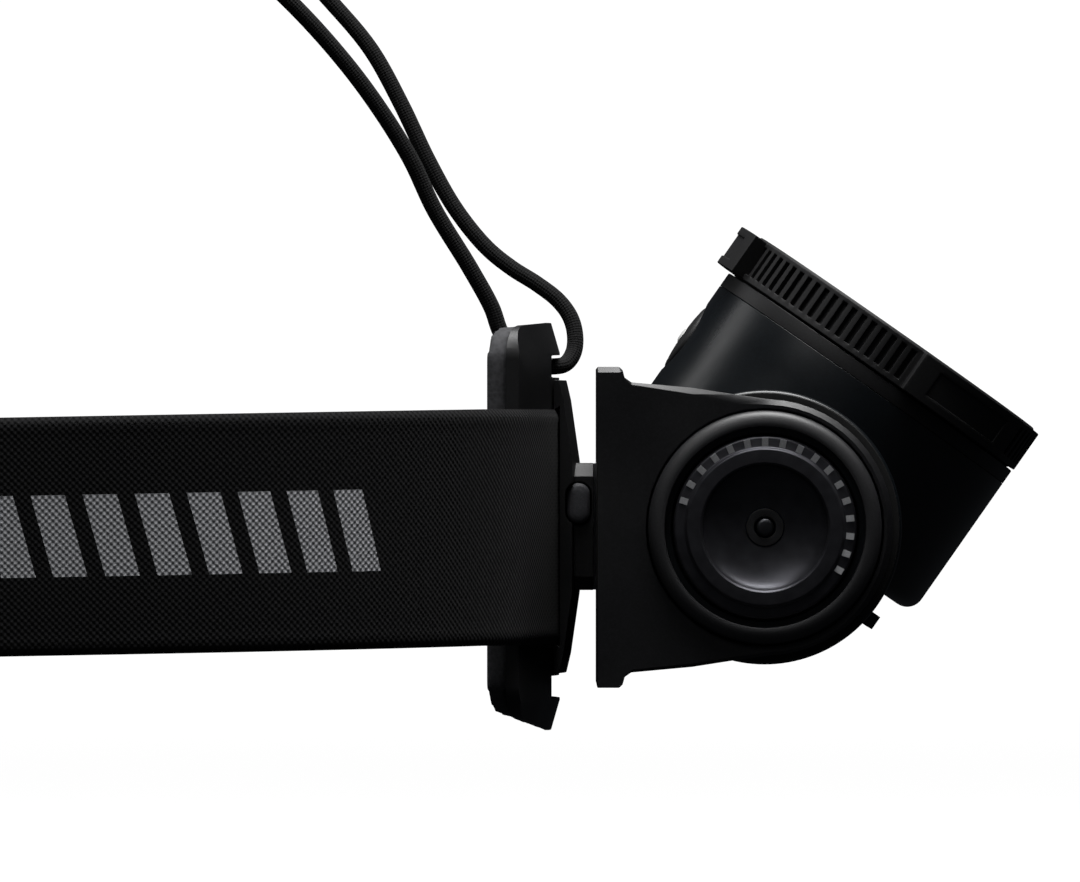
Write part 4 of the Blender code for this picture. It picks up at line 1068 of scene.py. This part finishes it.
# ------------------------------------------------------------------ switch
# A soft-touch button on the head's upper side with a white light pipe in the middle.
BUTTON_CENTRE = head_place(0, 0, BUTTON_OUT)
button = turned("switch_button_cap",
                [(0, 24.3), (5.7, 24.3), (5.7, 25.2), (5.62, 25.5), (5.4, 25.75), (5.0, 25.92),
                 (4.4, 26.05), (4.2, 25.95), (4.0, 26.08), (3.0, 26.2), (1.75, 26.28),
                 (1.55, 26.2), (1.5, 25.2), (0, 25.2)],
                BUTTON_CENTRE, -HEAD_DOWN)
fit(button, "switch_button", "soft_grip", soft_tpe, "switch_button")
pipe = turned("switch_light_pipe", [(0, 26.6), (0.5, 26.58), (0.9, 26.5), (1.2, 26.32),
                                    (1.3, 26.1), (1.3, 25.4), (0, 25.4)],
              BUTTON_CENTRE, -HEAD_DOWN, steps=48)
white_pc = moulded("white_translucent_polycarbonate", "#d8d8d6", "#e4e4e2", 0.35, 0.5, 0.002)
fit(pipe, "switch_button", "icon_white", white_pc, "button_lens")

# ------------------------------------------------------------------ window, lens and its carrier
# A hard-coated polycarbonate window sealed in the ring, and an acrylic lens behind it that the
# carrier moves along the optical axis when the ring is turned.


def clear_plastic(name, tint, ior):
    """Clear moulded plastic: polished, with very faint flow marks from the mould."""
    material, tree = blank_material(name)
    flow = noise(tree, object_place(tree), 90.0, 1.0)
    return finished(material, {"Base Color": linear(tint), "Roughness": 0.02, "IOR": ior,
                               "Transmission Weight": 1.0,
                               "Normal": bumped(tree, flow, 0.05, 0.0001)})


window = turned("front_window_pane", [(0, 34.2), (21.9, 34.2), (21.9, 33.0), (0, 33.0)],
                PIVOT, OPTIC, rounding=0.2, steps=144)
fit(window, "focus_ring", "clear_lens",
    clear_plastic("hard_coated_polycarbonate", "#f4f7fa", 1.58), "front_window")
gasket = turned("window_gasket", [(23.1, 34.2), (23.1, 33.0), (22.2, 33.0), (22.2, 34.2)],
                PIVOT, OPTIC, closed=True, rounding=0.2)
fit(gasket, "focus_ring", "seal_rubber", nitrile, "window_seal")
carrier = turned("lens_carrier_ring",
                 [(21.2, 28.8), (21.2, 24.6), (16.9, 24.6), (16.9, 27.0), (17.6, 27.0),
                  (17.6, 28.8)], PIVOT, OPTIC, closed=True, rounding=0.2, steps=144)
fit(carrier, "lens_carrier", "black_shell", black_acetal, "lens_carrier")
flank = [(16.0 - 12.6 * (1 - t) ** 0.62, 27.2 - 6.3 * (1 - t) ** 1.45)
         for t in [k / 12 for k in range(12, 0, -1)]]
lens = turned("collimator_lens_pmma",
              [(0, 28.6), (17.2, 28.6), (17.2, 27.4), *flank, (3.4, 20.9), (3.1, 24.6),
               (2.3, 25.0), (1.2, 25.3), (0, 25.4)], PIVOT, OPTIC, steps=144)
fit(lens, "lens_carrier", "clear_lens",
    clear_plastic("clear_acrylic", "#f6f8f8", 1.49), "collimator_lens")

# ------------------------------------------------------------------ inside the head
# An aluminium slug carries the LED board, held by two screws; the driver board stands behind the
# switch.  The cell is a 21 mm lithium cell in shrink wrap, pressed on by a spring in the dish end.
flat_alloy = metal("turned_aluminium_slug", "#b0b2b6", 0.38, 0.2, 0.006, centre=PIVOT, axis=OPTIC)
slug = merged_copy("heat_sink", "heat_sink_slug")
ease_edges(slug, 0.3, angle=45)
fit(slug, "lamp_head", "alloy", flat_alloy, "heat_sink")
for node in ("board_screw_right", "board_screw_left"):
    pan_head_screw(node + "_m2", node, "lamp_head", OPTIC)


def circuit_board():
    """Glass-epoxy board: green solder mask over tracks that show as slightly paler lines."""
    material, tree = blank_material("green_solder_mask")
    tracks = add_node(tree, "TexBrick",
                      {"Vector": object_place(tree), "Scale": 330.0, "Mortar Size": 0.04,
                       "Color1": (0, 0, 0, 1), "Color2": (0.15, 0.15, 0.15, 1),
                       "Mortar": (1, 1, 1, 1)})
    tone = mixed(tree, tracks.outputs["Color"], "#0f4a26", "#2a7a48")
    return finished(material, {"Base Color": tone, "Roughness": 0.4, "IOR": 1.55,
                               "Normal": bumped(tree, tracks.outputs["Fac"], 0.4, 0.00003)})


solder_mask = circuit_board()
for node, name, width_mm, slot, material in (
        ("led_board", "led_board_laminate", 0.12, "board_green", solder_mask),
        ("driver_board", "driver_board_laminate", 0.12, "board_green", solder_mask),
        ("tactile_switch", "tactile_switch_can", 0.2, "steel", plated_steel)):
    part = merged_copy(node, name)
    ease_edges(part, width_mm, angle=45)
    fit(part, "lamp_head", slot, material, node)
phosphor = moulded("phosphor_silicone", "#d8b52c", "#ecd257", 0.3, 0.4, 0.004)
emitter = turned("led_dome",
                 [(0, 20.5), (0.5, 20.45), (0.95, 20.3), (1.3, 20.05), (1.55, 19.75), (1.6, 19.6),
                  (2.5, 19.6), (2.6, 19.5), (2.6, 19.0), (0, 19.0)], PIVOT, OPTIC, steps=48)
fit(emitter, "lamp_head", "emitter_yellow", phosphor, "led_emitter")
cell = turned("lithium_cell_21700",
              [(0, 36.0), (3.0, 36.0), (3.2, 35.85), (3.2, 35.2), (9.9, 35.2), (10.45, 35.1),
               (10.7, 34.7), (10.62, 34.0), (10.7, 33.2), (10.7, -33.4), (10.45, -33.85),
               (9.9, -34.0), (0, -34.0)], PIVOT, LEFT)
shrink_wrap = moulded("heat_shrink_pvc", "#1b2f66", "#263d7d", 0.28, 1.2, 0.004)
fit(cell, "lamp_head", "cell_wrap", shrink_wrap, "battery_cell")


def contact_spring():
    """A conical spring of 0.7 mm nickel-plated wire."""
    turns, steps = 1.9, 48
    count = int(turns * steps)
    shape = bpy.data.curves.new("contact_spring_wire", "CURVE")
    shape.dimensions = "3D"
    shape.bevel_depth = 0.35 * MM
    shape.bevel_resolution = 4
    shape.use_fill_caps = True
    spline = shape.splines.new("POLY")
    spline.points.add(count)
    for i, point in enumerate(spline.points):
        share = i / count
        turn = share * turns * math.tau
        radius = 4.0 + 3.5 * share
        place = PIVOT + RIGHT * (34.75 + 1.1 * share) * MM
        place = place + (HEAD_DOWN * math.cos(turn) - OPTIC * math.sin(turn)) * radius * MM
        point.co = (*place, 1)
    guide = new_piece("spring_guide", shape)
    drawn = guide.evaluated_get(bpy.context.evaluated_depsgraph_get())
    mesh = bpy.data.meshes.new_from_object(drawn)
    bpy.data.objects.remove(guide)
    spring = new_piece("contact_spring_wire", mesh)
    clean_mesh(spring)
    shade_flats(50)
    return spring


fit(contact_spring(), "lamp_head", "steel", plated_steel, "contact_spring")

low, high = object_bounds()
